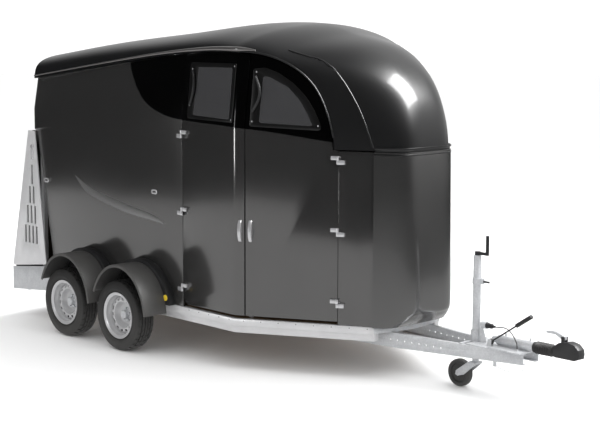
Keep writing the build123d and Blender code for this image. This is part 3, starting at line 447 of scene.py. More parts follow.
FINISHES: dict[str, Finish] = {
    "lacquer": BeltedLacquer("body lacquer", (0.165, 0.163, 0.162), (0.19, 0.188, 0.187),
                             (0.17, 0.20), 0.92, Pattern.CLOUD, 3.0, 0.00002, 0.3),
    "nose_grey": Finish("nose lacquer", (0.165, 0.164, 0.163), (0.19, 0.189, 0.188),
                        (0.20, 0.25), 0.92, Pattern.CLOUD, 3.0, 0.00003, 0.3),
    "black_gloss": Finish("black gloss moulding", (0.0045, 0.0045, 0.005), (0.006, 0.006, 0.0065),
                          (0.30, 0.36), 0.0, Pattern.CLOUD, 2.5, 0.00004, 0.25),
    # pale grey standing for a painted highlight along the black moulding's rounded gutter edge
    "eave": Finish("eave painted highlight", (0.30, 0.29, 0.285), (0.34, 0.33, 0.325), (0.26, 0.32), 0.9,
                   Pattern.CLOUD, 3.0, 0.00003, 0.2),
    # pale grey standing for a painted highlight along the raised crease of the dark shell
    "relief": Finish("relief painted highlight", (0.30, 0.30, 0.30), (0.34, 0.34, 0.34), (0.3, 0.36), 0.8,
                     Pattern.CLOUD, 3.0, 0.00003, 0.3),
    "zinc": Finish("galvanised steel", (0.66, 0.67, 0.68), (0.48, 0.49, 0.51), (0.32, 0.5), 0.35,
                   Pattern.SPANGLE, 90.0, 0.00006),
    "alloy": Finish("satin aluminium", (0.72, 0.72, 0.73), (0.60, 0.60, 0.61), (0.28, 0.36), 0.4,
                    Pattern.BRUSHED, 500.0, 0.00003),
    "polished": Finish("polished stainless", (0.78, 0.78, 0.79), (0.68, 0.68, 0.70), (0.12, 0.22), 0.7,
                       Pattern.CLOUD, 30.0, 0.00002),
    "wheel_silver": Finish("silver wheel paint", (0.60, 0.60, 0.61), (0.50, 0.50, 0.51),
                           (0.26, 0.36), 0.4, Pattern.CLOUD, 14.0, 0.00004, 0.3),
    "guard": Finish("guard moulding", (0.055, 0.054, 0.053), (0.072, 0.07, 0.068), (0.42, 0.55), 0.0,
                    Pattern.GRAIN, 420.0, 0.00012),
    "black_plastic": Finish("black moulding", (0.010, 0.010, 0.011), (0.018, 0.018, 0.019),
                            (0.35, 0.5), 0.0, Pattern.GRAIN, 500.0, 0.00008),
    "rubber": Finish("black rubber", (0.012, 0.012, 0.012), (0.022, 0.021, 0.021), (0.5, 0.7), 0.0,
                     Pattern.GRAIN, 350.0, 0.00008),
    "tyre": Finish("tyre rubber", (0.010, 0.010, 0.0105), (0.024, 0.023, 0.022), (0.55, 0.75), 0.0,
                   Pattern.GRAIN, 300.0, 0.0001),
    "ply": Finish("sealed ply", (0.20, 0.125, 0.065), (0.12, 0.07, 0.035), (0.45, 0.6), 0.0,
                  Pattern.PLY, 60.0, 0.0002),
    "frit": Finish("window border", (0.002, 0.002, 0.0022), (0.004, 0.004, 0.004), (0.30, 0.36), 0.0,
                   Pattern.CLOUD, 4.0, 0.00002),
    "glass": Glazing("smoked acrylic", (0.065, 0.065, 0.068), (0.07, 0.07, 0.073), (0.04, 0.07), 0.0,
                     Pattern.CLOUD, 3.0, 0.00001, clear=0.45),
    "red_lens": Glazing("red lens", (0.55, 0.02, 0.015), (0.5, 0.015, 0.01), (0.08, 0.12), 0.0,
                        Pattern.CLOUD, 5.0, 0.00003, clear=0.35),
    "yellow": Finish("yellow reflector", (0.75, 0.52, 0.03), (0.8, 0.6, 0.05), (0.12, 0.2), 0.0,
                     Pattern.GRAIN, 600.0, 0.0002, 0.6),
}


# ---------------------------------------------------------------- making pieces
def bevel(mesh: bmesh.types.BMesh, geom: Sequence[bmesh.types.BMVert | bmesh.types.BMEdge],
          width: float, segments: int = 2, affect: str = "EDGES") -> None:
    """Rounds edges, or corners of a flat face.

    Args:
        mesh: The mesh, changed in place.
        geom: What is rounded.
        width: Reach of the rounding.
        segments: Its steps.
        affect: EDGES or VERTICES.
    """
    bmesh.ops.bevel(mesh, geom=geom, offset=width, offset_type="OFFSET", segments=segments,
                    profile=0.5, affect=affect, clamp_overlap=True, material=-1)


def crisp(mesh: bmesh.types.BMesh, degrees: float) -> list[bmesh.types.BMEdge]:
    """Edges between two faces that turn by more degrees than this."""
    return [e for e in mesh.edges if len(e.link_faces) == 2
            and abs(e.calc_face_angle(0.0)) > math.radians(degrees)]


CAD_MERGE = 2e-5                 # points of a CAD mesh closer than this are one
CAD_FLAT = math.radians(0.8)     # faces that turn less than this are one
EDGE_TURN = 33.0                 # degrees from which an edge is rounded
KINK_TURN = math.radians(20)     # how the walls' bend is told from other edges
KINK_REACH, KINK_LENGTH = 0.02, 0.3
KINK_ROUND = 0.055


@dataclass
class Workshop:
    """Turns meshes into finished pieces and keeps their list.

    Attributes:
        materials: Finished materials by finish name.
        slots: The record's material slot of each CAD node.
        made: Names of the pieces so far.
    """

    materials: dict[str, bpy.types.Material] = field(default_factory=dict)
    slots: dict[str, str] = field(default_factory=dict)
    made: list[str] = field(default_factory=list)

    def prepare(self) -> None:
        """Builds the materials and reads the slots."""
        kit = ShaderKit()
        self.materials = {key: finish.build(kit) for key, finish in FINISHES.items()}
        self.slots = {row["node"]: row["material_slot"] for row in frame["record"]["subparts"]}

    def add(self, name: str, mesh: bmesh.types.BMesh, finish: str, body: str,
            replaces: Sequence[str] = (), slot: str = "", sharp: float = SHARP) -> bpy.types.Object:
        """Makes a piece from a mesh.

        Args:
            name: The piece's name.
            mesh: Its shape; it is freed.
            finish: Key of its finish.
            body: The CAD body it rides on.
            replaces: CAD nodes it stands for.
            slot: The record's slot, if not that of the first node it replaces; not used.
            sharp: Edges that turn more than this stay crisp.

        Returns:
            The new object.
        """
        data = bpy.data.meshes.new(name)
        mesh.to_mesh(data)
        mesh.free()
        piece = bpy.data.objects.new(name, data)
        bpy.context.scene.collection.objects.link(piece)
        return self.finish(piece, finish, body, replaces, slot, sharp)

    def finish(self, piece: bpy.types.Object, finish: str, body: str, replaces: Sequence[str] = (),
               slot: str = "", sharp: float = SHARP) -> bpy.types.Object:
        """Dresses a mesh object and puts it on its body, with Args as for add."""
        piece.data.materials.clear()
        piece.data.materials.append(self.materials[finish])
        for polygon in piece.data.polygons:
            polygon.use_smooth = True
        piece.data.set_sharp_from_angle(angle=sharp)
        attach(piece, body)
        if replaces:
            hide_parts(*replaces)
            slot = slot or self.slots[replaces[0]]
        self.made.append(piece.name)
        LOG.info("piece %s on %s, %d faces", piece.name, body, len(piece.data.polygons))
        return piece

    def soften(self, node: str, finish: str, name: str = "", width: float = 0.0015,
               segments: int = 2) -> bpy.types.Object:
        """A copy of a CAD node with rounded edges, in place of the node.

        Args:
            node: The CAD node.
            finish: Key of its finish.
            name: The piece's name, if not made from the node's.
            width: How far the rounding reaches from each edge.
            segments: Steps of the rounding.

        Returns:
            The new object.
        """
        mesh = bmesh.new()
        mesh.from_mesh(frame["nodes"][node].data)
        bmesh.ops.remove_doubles(mesh, verts=mesh.verts[:], dist=CAD_MERGE)
        bmesh.ops.dissolve_limit(mesh, angle_limit=CAD_FLAT, verts=mesh.verts[:],
                                 edges=mesh.edges[:], delimit=set())
        # the walls' bend at the kink is a broad round, as in pressed sheet
        kink = [e for e in mesh.edges if len(e.link_faces) == 2 and finish == "lacquer"
                and KINK_TURN < abs(e.calc_face_angle(0.0)) < math.radians(EDGE_TURN)
                and all(abs(v.co.x - KINK_X) < KINK_REACH for v in e.verts)
                and e.calc_length() > KINK_LENGTH]
        if kink:
            bevel(mesh, kink, KINK_ROUND, 8)
        edges = crisp(mesh, EDGE_TURN)
        if width > 0 and edges:
            bevel(mesh, edges, width, segments)
        bodies = {n: b for b, ns in frame["record"]["behaviour"]["bodies"].items() for n in ns}
        return self.add(name or f"{node}_rounded", mesh, finish, bodies[node], [node])


SHOP = Workshop()


def ribbon(rows: Sequence[Sequence[Vector]]) -> bmesh.types.BMesh:
    """A sheet swept from its first row through the others.

    Args:
        rows: Rows of points, all as long as each other.

    Returns:
        The sheet, each row extruded from the last.
    """
    mesh = bmesh.new()
    chain = [mesh.verts.new(p) for p in rows[0]]
    edges = [mesh.edges.new(pair) for pair in zip(chain, chain[1:])]
    for row in rows[1:]:
        grown = bmesh.ops.extrude_edge_only(mesh, edges=edges)["geom"]
        new = {v for v in grown if isinstance(v, bmesh.types.BMVert)}
        step: list[bmesh.types.BMVert] = []
        for vert, place in zip(chain, row):
            twin = next(e.other_vert(vert) for e in vert.link_edges if e.other_vert(vert) in new)
            twin.co = place
            step.append(twin)
        chain = step
        edges = [next(e for e in a.link_edges if e.other_vert(a) is b)
                 for a, b in zip(chain, chain[1:])]
    return mesh


def turned(profile: Sequence[Pair], centre: Vector, axis: Vector, steps: int = 64,
           closed: bool = True) -> bmesh.types.BMesh:
    """A profile spun about an axis.

    Args:
        profile: Pairs of radius and distance along the axis.
        centre: A point on the axis, where the distance is zero.
        axis: The axis' direction.
        steps: Steps of the full turn.
        closed: Whether the profile's ends are joined into a loop.

    Returns:
        The turned mesh, with its faces outward.
    """
    mesh = bmesh.new()
    axis = axis.normalized()
    side = axis.orthogonal().normalized()
    verts = [mesh.verts.new(centre + side * r + axis * d) for r, d in profile]
    edges = [mesh.edges.new(pair) for pair in zip(verts, verts[1:])]
    if closed:
        edges.append(mesh.edges.new((verts[-1], verts[0])))
    bmesh.ops.spin(mesh, geom=verts + edges, cent=centre, axis=axis, dvec=(0, 0, 0),
                   angle=2 * math.pi, steps=steps, use_merge=True, use_duplicate=False)
    bmesh.ops.remove_doubles(mesh, verts=mesh.verts[:], dist=1e-6)
    bmesh.ops.recalc_face_normals(mesh, faces=mesh.faces[:])
    return mesh


def thicken(sheet: bmesh.types.BMesh, thickness: float,
            toward: Vector | None = None) -> bmesh.types.BMesh:
    """Gives a sheet a thickness behind its faces.

    Args:
        sheet: The sheet, changed in place.
        thickness: How thick it gets.
        toward: Its furthest face this way is made to face this way.

    Returns:
        The same mesh.
    """
    bmesh.ops.recalc_face_normals(sheet, faces=sheet.faces[:])
    if toward is not None:
        front = max(sheet.faces, key=lambda f: f.calc_center_median().dot(toward))
        if front.normal.dot(toward) < 0:
            bmesh.ops.reverse_faces(sheet, faces=sheet.faces[:])
    bmesh.ops.solidify(sheet, geom=sheet.faces[:], thickness=thickness)
    return sheet


def plate(outline: Sequence[Vector], depth: Vector, round_off: float = 0.0,
          holes: Iterable[Sequence[Vector]] = ()) -> bmesh.types.BMesh:
    """A flat plate from its outline, with optional openings.

    Args:
        outline: Corners of its face, in order.
        depth: How far and which way it is extruded.
        round_off: Radius taken off the outline's corners.
        holes: Outlines of openings.

    Returns:
        The closed plate.
    """
    mesh = bmesh.new()
    for loop in (outline, *holes):
        verts = [mesh.verts.new(p) for p in loop]
        mesh.faces.new(verts)
        if round_off:
            bevel(mesh, verts, round_off, 6, "VERTICES")
        max((f for f in mesh.faces if not f.tag), key=lambda f: len(f.verts)).tag = True
    if len(mesh.faces) > 1:
        edges = mesh.edges[:]
        bmesh.ops.delete(mesh, geom=mesh.faces[:], context="FACES_ONLY")
        bmesh.ops.triangle_fill(mesh, use_beauty=True, use_dissolve=True, edges=edges)
    grown = bmesh.ops.extrude_face_region(mesh, geom=mesh.faces[:], use_keep_orig=True)["geom"]
    bmesh.ops.translate(mesh, vec=depth, verts=[v for v in grown if isinstance(v, bmesh.types.BMVert)])
    bmesh.ops.recalc_face_normals(mesh, faces=mesh.faces[:])
    return mesh


def soft_edges(mesh: bmesh.types.BMesh, width: float, segments: int = 2,
               angle: float = 40.0) -> bmesh.types.BMesh:
    """Rounds the mesh's crisp edges.

    Args:
        mesh: The mesh, changed in place.
        width: Reach of the rounding.
        segments: Its steps.
        angle: Edges that turn by more degrees than this are rounded.

    Returns:
        The same mesh.
    """
    bevel(mesh, crisp(mesh, angle), width, segments)
    return mesh


def join(meshes: Sequence[bmesh.types.BMesh]) -> bmesh.types.BMesh:
    """One mesh of several, which are freed."""
    whole = bmesh.new()
    for part in meshes:
        data = bpy.data.meshes.new("part")
        part.to_mesh(data)
        part.free()
        whole.from_mesh(data)
        bpy.data.meshes.remove(data)
    return whole


def bead(points: Sequence[Vector], radius: float, sides: int = 10,
         swell: Callable[[float], float] = lambda t: 1.0) -> bmesh.types.BMesh:
    """A round bead along a line of points, closed at both ends.

    Args:
        points: The centre line.
        radius: The bead's radius.
        sides: Sides of its section.
        swell: Share of the radius at a share of the line.

    Returns:
        The closed tube.
    """
    curve = bpy.data.curves.new("line", "CURVE")
    curve.dimensions = "3D"
    curve.bevel_depth, curve.bevel_resolution, curve.use_fill_caps = radius, max(1, sides // 4), True
    spline = curve.splines.new("POLY")
    spline.points.add(len(points) - 1)
    for k, (knot, place) in enumerate(zip(spline.points, points)):
        knot.co = (*place, 1)
        knot.radius = swell(k / (len(points) - 1))
    holder = bpy.data.objects.new("line", curve)
    data = bpy.data.meshes.new_from_object(holder)
    mesh = bmesh.new()
    mesh.from_mesh(data)
    bpy.data.objects.remove(holder)
    bpy.data.curves.remove(curve)
    bpy.data.meshes.remove(data)
    bmesh.ops.remove_doubles(mesh, verts=mesh.verts[:], dist=1e-6)
    bmesh.ops.recalc_face_normals(mesh, faces=mesh.faces[:])
    return mesh


# ---------------------------------------------------------------- hood and nose
@dataclass
class Hood:
    """The moulded roof that runs into the domed upper nose.

    Attributes:
        sections: Roof sections: place, gutter height, crown height and fullness.
        hoops: Nose hoops about the pivot: angle, gutter reach, crown reach and fullness.
        crease: Points of the raised crease on the nose's side, from the kink.
        steps: Points across one arch, less one.
        thick: Thickness of the moulding.
    """

    sections: tuple[tuple[float, ...], ...] = (
        (-2.780, 2.225, 2.456, 3.6), (-1.900, 2.345, 2.577, 3.1), (-1.000, 2.460, 2.668, 2.6),
        (-0.380, 2.512, 2.740, 2.1), (0.0, 2.517, 2.737, 1.7))
    hoops: tuple[tuple[float, ...], ...] = (
        (90, 0.732, 0.952, 1.7), (67.5, 0.735, 0.945, 1.6), (45, 0.733, 1.055, 2.3),
        (22.5, 0.712, 1.185, 3.5), (0, 0.716, 1.210, 5.2))
    crease: tuple[Pair, ...] = (
        (0.300, 2.533), (0.462, 2.484), (0.538, 2.463), (0.638, 2.406), (0.751, 2.284), (0.839, 2.150),
        (0.901, 2.026), (0.945, 1.911), (0.975, 1.806))
    steps: int = 44
    thick: float = 0.014

    def arch(self, width: Callable[[float], float], edge: float, crown: float, full: float,
             place: Callable[[float, float], Vector]) -> list[Vector]:
        """Points of one arch across the trailer.

        Args:
            width: Half-width at a reach.
            edge: Reach at the gutter.
            crown: Reach at the middle.
            full: How square the shoulder is.
            place: Turns half-width and reach into a point.

        Returns:
            The arch from the left edge over to the right one.
        """
        points = []
        for i in range(self.steps + 1):
            angle = math.pi * i / self.steps
            rise = math.sin(angle) ** (2 / full) if 0 < i < self.steps else 0.0
            spread = math.copysign(abs(math.cos(angle)) ** (2 / full), math.cos(angle))
            spread = 0.0 if 2 * i == self.steps else spread
            reach = edge + (crown - edge) * rise
            points.append(place(width(reach) * spread, reach))
        return points

    def rows(self, inset: float) -> list[list[Vector]]:
        """Arches from the rear to the groove, moved inward by an inset."""
        rows = []
        for x, edge, crown, full in smooth_rows(self.sections, 5)[:-1]:
            rows.append(self.arch(lambda z: side_line(x, z) + FLANGE - inset, edge, crown - inset / 2,
                                  full, lambda y, z: at(x, y, z)))
        for angle, edge, crown, full in smooth_rows(self.hoops, 8):
            c, s = math.cos(math.radians(angle)), math.sin(math.radians(angle))
            rows.append(self.arch(lambda r: side_line(r * c, GROOVE_Z + r * s) + FLANGE - inset, edge,
                                  crown - inset / 2, full, lambda y, r: at(r * c, y, GROOVE_Z + r * s)))
        return rows

    def skin_y(self, x: float, z: float) -> float:
        """Half-width of the hood's outer skin on the nose.

        Args:
            x: Distance ahead of the kink.
            z: Height above the ground.

        Returns:
            The half-width there.
        """
        angle = math.degrees(math.atan2(z - GROOVE_Z, x))
        reach = math.hypot(x, z - GROOVE_Z)
        rows = smooth_rows(self.hoops, 8)
        _, edge, crown, full = min(rows, key=lambda row: abs(row[0] - angle))
        rise = min(0.999, max(0.0, (reach - edge) / (crown - edge)))
        sine = rise ** (full / 2)
        spread = max(0.0, 1 - sine * sine) ** (1 / full)
        return (side_line(x, z) + FLANGE) * spread

    def door_seal(self, gutter: Sequence[Vector]) -> None:
        """Makes the seal deep in the gap over the front door's head.

        Args:
            gutter: The hood's lower edge, from the rear.
        """
        back, sunk = 0.022, -0.026
        rows = [[wall_point(p.x - KINK_X, p.z - 0.001, sunk),
                 wall_point(p.x - KINK_X - back, p.z - 0.004, sunk)]
                for p in gutter if p.x > KINK_X + 0.11]
        SHOP.add("front_head_seal", thicken(ribbon(rows), 0.003), "rubber", "trailer", slot="rubber")

    def build(self) -> None:
        """Makes the hood, its rounded eave with a painted highlight along it, and its crease."""
        outer = thicken(ribbon(self.rows(0.0)), self.thick, Vector((0, 0, 1)))
        SHOP.add("hood", outer, "black_gloss", "trailer", ["hood_shell"], sharp=math.radians(50))
        gutter = [row[-1] for row in self.rows(0.0)]
        for side in (1, -1):
            word = "right" if side == 1 else "left"
            roof = [Vector((p.x, p.y * side, p.z + 0.022)) for p in gutter if p.x < KINK_X + 0.16]
            # the lip is black moulding; its pale grey is a painted highlight along the gutter
            SHOP.add(f"eave_lip_highlight_{word}", bead(roof, 0.019, 20, lambda t: 0.30 + 0.70 * math.sin(
                math.pi / 2 * min(1.0, t / 0.86)) ** 3 if t < 0.86 else 1 - 4.6 * (t - 0.86)),
                     "eave", "trailer", slot="hood_black")
            nose = [Vector((p.x, (p.y - 0.002) * side, p.z + 0.006)) for p in gutter[:-3]
                    if p.x > KINK_X + 0.02]
            SHOP.add(f"arch_bead_{word}", bead(nose, 0.007, 16), "black_gloss", "trailer",
                     slot="hood_black")
            # the ledge closes the underside between the hood's skin and the wall
            ledge = thicken(ribbon([[Vector((p.x, p.y * side, p.z)),
                                     Vector((p.x, (p.y + 0.032) * side, p.z))] for p in gutter]), 0.0015)
            SHOP.add(f"eave_ledge_{word}", ledge, "black_gloss", "trailer", slot="hood_black")
            if side == 1:
                self.door_seal(gutter)
            line = []
            for x, z in smooth_rows(self.crease, 4):
                line.append(at(x, -side * (self.skin_y(x, z) - 0.0015), z))
            SHOP.add(f"nose_crease_{word}", bead(line, 0.007, 16), "black_gloss", "trailer",
                     slot="hood_black")


@dataclass
class Nose:
    """The lower nose panel and the strip in the groove above it.

    Attributes:
        levels: Heights and centre reaches from the undercut base to the groove.
        joint: Where the panel meets the front walls.
        full: How square its corners are.
        thick: Thickness of the panel.
    """

    levels: tuple[Pair, ...] = ((0.4205, 1.110), (0.500, 1.215), (0.620, 1.262), (1.150, 1.243),
                                (1.773, 1.212))
    joint: float = 0.985
    full: float = 5.2
    thick: float = 0.022

    def build(self) -> None:
        """Makes the panel and the strip."""
        hood = Hood(steps=56)
        rows = [hood.arch(lambda r: side_line(r) + FLANGE, self.joint, reach, self.full,
                          lambda y, r: at(r, y, z)) for z, reach in smooth_rows(self.levels, 8)]
        panel = thicken(ribbon(rows), self.thick, Vector((1, 0, 0)))
        SHOP.add("nose_skin", panel, "nose_grey", "trailer", ["nose_panel"], sharp=math.radians(50))
        band = [hood.arch(lambda r: side_line(r) + FLANGE - inset, self.joint + 0.004, 1.2105 - inset,
                          self.full, lambda y, r: at(r, y, z))
                for z, inset in ((1.748, 0.004), (1.750, -0.003), (1.757, -0.0045), (1.766, 0.004),
                                 (1.772, 0.0075), (1.786, 0.0075), (1.792, 0.004), (1.801, -0.004),
                                 (1.808, -0.0025), (1.810, 0.004))]
        strip = thicken(ribbon(band), 0.003, Vector((1, 0, 0)))
        SHOP.add("nose_band", strip, "black_gloss", "trailer", slot="hood_black",
                 sharp=math.radians(60))


# ---------------------------------------------------------------- windows
@dataclass
class Window:
    """A flush pane with a dark border, a clear middle, screws and a pull.

    Attributes:
        name: Word used in the piece names.
        node: The CAD node it stands for.
        body: The body it rides on.
        pane: Outline of the whole pane, from the kink.
        clear: Outline of its clear middle.
        screws: Places of its screws.
        pull: Top and foot of its crescent pull.
        skin: Gap between the wall and the pane.
        thick: Thickness of the pane.
        corner: Radius of its corners.
    """

    name: str
    node: str
    body: str
    pane: tuple[Pair, ...]
    clear: tuple[Pair, ...]
    screws: tuple[Pair, ...]
    pull: tuple[Pair, Pair]
    skin: float = 0.001
    thick: float = 0.006
    corner: float = 0.018

    def lifted(self, mesh: bmesh.types.BMesh) -> bmesh.types.BMesh:
        """Moves a mesh drawn flat as (x, out, z) onto the leaning wall."""
        for vert in mesh.verts:
            vert.co = wall_point(vert.co.x, vert.co.z, vert.co.y)
        bmesh.ops.recalc_face_normals(mesh, faces=mesh.faces[:])
        return mesh

    def flat(self, outline: Sequence[Pair], out: float) -> list[Vector]:
        """An outline's corners as (x, out, z)."""
        return [Vector((x, out, z)) for x, z in outline]

    def build(self) -> None:
        """Makes the border, the clear sheet, the screws and the pull."""
        depth = Vector((0, self.thick, 0))
        border = plate(self.flat(self.pane, self.skin), depth, self.corner,
                       [self.flat(self.clear, self.skin)])
        SHOP.add(f"{self.name}_border", soft_edges(self.lifted(border), 0.0012), "frit", self.body,
                 [self.node])
        inner = plate(self.flat(self.clear, self.skin + 0.0005), depth * 0.8, self.corner)
        SHOP.add(f"{self.name}_clear", self.lifted(inner), "glass", self.body, slot="window")
        heads = []
        outward = (wall_point(self.screws[0][0], 2.2, 1.0) - wall_point(self.screws[0][0], 2.2, 0.0))
        for x, z in self.screws:
            spot = wall_point(x, z, self.skin + self.thick)
            heads.append(turned([(0.0, 0.003), (0.004, 0.0026), (0.0062, 0.0008), (0.0062, -0.001)],
                                spot, outward, 16, False))
        SHOP.add(f"{self.name}_screws", join(heads), "polished", self.body, slot="stainless")
        (x0, z0), (x1, z1) = self.pull
        grip = []
        for k in range(17):
            t = k / 16
            bow = math.sin(math.pi * t)
            grip.append(wall_point(x0 + (x1 - x0) * t + 0.045 * bow, z0 + (z1 - z0) * t,
                                   self.skin + self.thick + 0.004 + 0.016 * bow))
        SHOP.add(f"{self.name}_pull", bead(grip, 0.011, 12), "black_plastic", self.body,
                 slot="black_plastic")


# ---------------------------------------------------------------- wheels
AXLE = Vector((0, 1, 0))
TYRE_STEPS, DISC_STEPS = 120, 84     # steps of a full turn


@dataclass
class Wheel:
    """One road wheel: tyre, rim, hub and nuts.

    Attributes:
        row: Word for its axle.
        side: 1 on the left and -1 on the right.
        x: Its place from the kink.
        radius: Tyre radius.
        middle: Half-width place of the tyre's middle.
    """

    row: str
    side: int
    x: float
    radius: float = 0.298
    middle: float = 1.1255

    @property
    def word(self) -> str:
        """The wheel's name without its part."""
        return f"{self.row}_{'left' if self.side == 1 else 'right'}"

    @property
    def centre(self) -> Vector:
        """The axle's point in the tyre's middle."""
        return at(self.x, self.middle * self.side, self.radius)

    def spun(self, profile: Sequence[Pair], steps: int, closed: bool = True) -> bmesh.types.BMesh:
        """A profile of radius and outward distance, spun about the axle."""
        return turned([(r, w * self.side) for r, w in profile], self.centre, AXLE, steps, closed)

    def spot(self, face: bmesh.types.BMFace, steps: int) -> tuple[Vector, float, int]:
        """Where a face is.

        Args:
            face: A face of the wheel.
            steps: Steps of the full turn.

        Returns:
            Its offset from the axle, its distance from the axis and its step.
        """
        offset = face.calc_center_median() - self.centre
        turn = (math.atan2(offset.z, offset.x) + math.pi) / (2 * math.pi)
        return offset, math.hypot(offset.x, offset.z), int(round(turn * steps - 0.5))

    def tyre(self) -> bmesh.types.BMesh:
        """A tyre with ribs, shoulder blocks and a moulded sidewall."""
        half = [(0.1783, 0.060), (0.186, 0.069), (0.199, 0.0705), (0.204, 0.0725), (0.2055, 0.079),
                (0.215, 0.087), (0.228, 0.0915), (0.236, 0.0925), (0.240, 0.0910), (0.252, 0.0900),
                (0.262, 0.0885), (0.2645, 0.0868), (0.278, 0.0838), (0.288, 0.0775), (0.2925, 0.070),
                (0.2945, 0.058), (0.2955, 0.0475), (0.2885, 0.0465), (0.2885, 0.0405), (0.2965, 0.0395),
                (0.2972, 0.0165), (0.290, 0.0158), (0.290, 0.0098), (0.2975, 0.009)]
        profile = half + [(r, -w) for r, w in half[::-1]]
        profile += [(0.1783, -0.052), (0.21, -0.066), (0.24, -0.076), (0.27, -0.068), (0.283, -0.046),
                    (0.283, 0.046), (0.27, 0.068), (0.24, 0.076), (0.21, 0.066), (0.1783, 0.052)]
        mesh = turned(profile, self.centre, AXLE, TYRE_STEPS)
        # every fourth strip of the shoulders is cut back to leave blocks
        faces = []
        for face in mesh.faces:
            offset, reach, turn = self.spot(face, TYRE_STEPS)
            if reach > 0.2855 and abs(offset.y) > 0.048 and turn % 4 == 0 and abs(face.normal.y) < 0.95:
                faces.append(face)
            elif reach > 0.2945 and 0.017 < abs(offset.y) < 0.040 and turn % 4 == 2:
                faces.append(face)
        dug = bmesh.ops.extrude_face_region(mesh, geom=faces)["geom"]
        for vert in (v for v in dug if isinstance(v, bmesh.types.BMVert)):
            inward = Vector((vert.co.x - self.centre.x, 0, vert.co.z - self.centre.z)).normalized()
            vert.co -= inward * 0.0055
        bmesh.ops.delete(mesh, geom=[f for f in faces if f.is_valid], context="FACES")
        bmesh.ops.recalc_face_normals(mesh, faces=mesh.faces[:])
        return mesh

    def rim(self) -> bmesh.types.BMesh:
        """A pressed steel rim with round vents."""
        barrel = [(0.178, -0.066), (0.196, -0.072), (0.1965, -0.0755), (0.194, -0.0765), (0.172, -0.072),
                  (0.172, -0.050), (0.158, -0.038), (0.158, 0.030), (0.1655, 0.040), (0.1685, 0.046),
                  (0.1705, 0.070), (0.190, 0.0785), (0.1955, 0.0795), (0.1968, 0.0765), (0.1955, 0.0735),
                  (0.181, 0.067), (0.1745, 0.062), (0.1745, 0.044), (0.164, 0.028), (0.164, -0.036),
                  (0.176, -0.048)]
        parts = [self.spun(barrel, 96)]
        face = [(0.161, 0.002), (0.158, 0.014), (0.1525, 0.0225), (0.146, 0.027), (0.1215, 0.0305),
                (0.113, 0.0275), (0.104, 0.0085), (0.096, -0.012), (0.088, -0.0185), (0.078, -0.0205),
                (0.070, -0.0195), (0.058, -0.0235)]
        disc = self.spun(face, DISC_STEPS, False)
        vents = []
        for mesh_face in disc.faces:
            _, reach, turn = self.spot(mesh_face, DISC_STEPS)
            if 0.122 < reach < 0.146 and turn % 6 in (0, 1, 2):
                vents.append(mesh_face)
        bmesh.ops.inset_region(disc, faces=vents, thickness=0.0022, use_even_offset=True)
        bmesh.ops.delete(disc, geom=vents, context="FACES")
        bmesh.ops.recalc_face_normals(disc, faces=disc.faces[:])
        bmesh.ops.solidify(disc, geom=disc.faces[:], thickness=0.004)
        parts.append(disc)
        return join(parts)

    def hub(self) -> bmesh.types.BMesh:
        """The drum, the hub cap and five nuts."""
        s = self.side
        drum = [(0.0202, -0.1700), (0.116, -0.1700), (0.118, -0.168), (0.118, -0.1150), (0.116, -0.1135),
                (0.060, -0.1130), (0.0595, -0.0145), (0.036, -0.0135), (0.0345, -0.0040), (0.0335, 0.016),
                (0.0300, 0.0195), (0.0, 0.0205), (0.0, -0.010), (0.0202, -0.012)]
        parts = [self.spun(drum, 64)]
        for k in range(5):
            a = 2 * math.pi * k / 5 + 0.3
            spot = self.centre + Vector((0.049 * math.cos(a), -0.0215 * s, 0.049 * math.sin(a)))
            nut = bmesh.new()
            place = Matrix.Translation(spot + Vector((0, 0.012 * s, 0))) @ Matrix.Rotation(
                math.pi / 2, 4, "X")
            bmesh.ops.create_cone(nut, cap_ends=True, segments=6, radius1=0.0108, radius2=0.0108,
                                  depth=0.022, matrix=place)
            parts.append(soft_edges(nut, 0.0012))
        return join(parts)

    def build(self) -> None:
        """Makes the wheel's pieces."""
        body = f"wheel_{self.word}"
        SHOP.add(f"tread_{self.word}", self.tyre(), "tyre", body, [f"tyre_{self.word}"])
        SHOP.add(f"steel_rim_{self.word}", self.rim(), "wheel_silver", body, [f"rim_{self.word}"],
                 sharp=math.radians(42))
        SHOP.add(f"hub_{self.word}", self.hub(), "zinc", body, slot="galvanised")


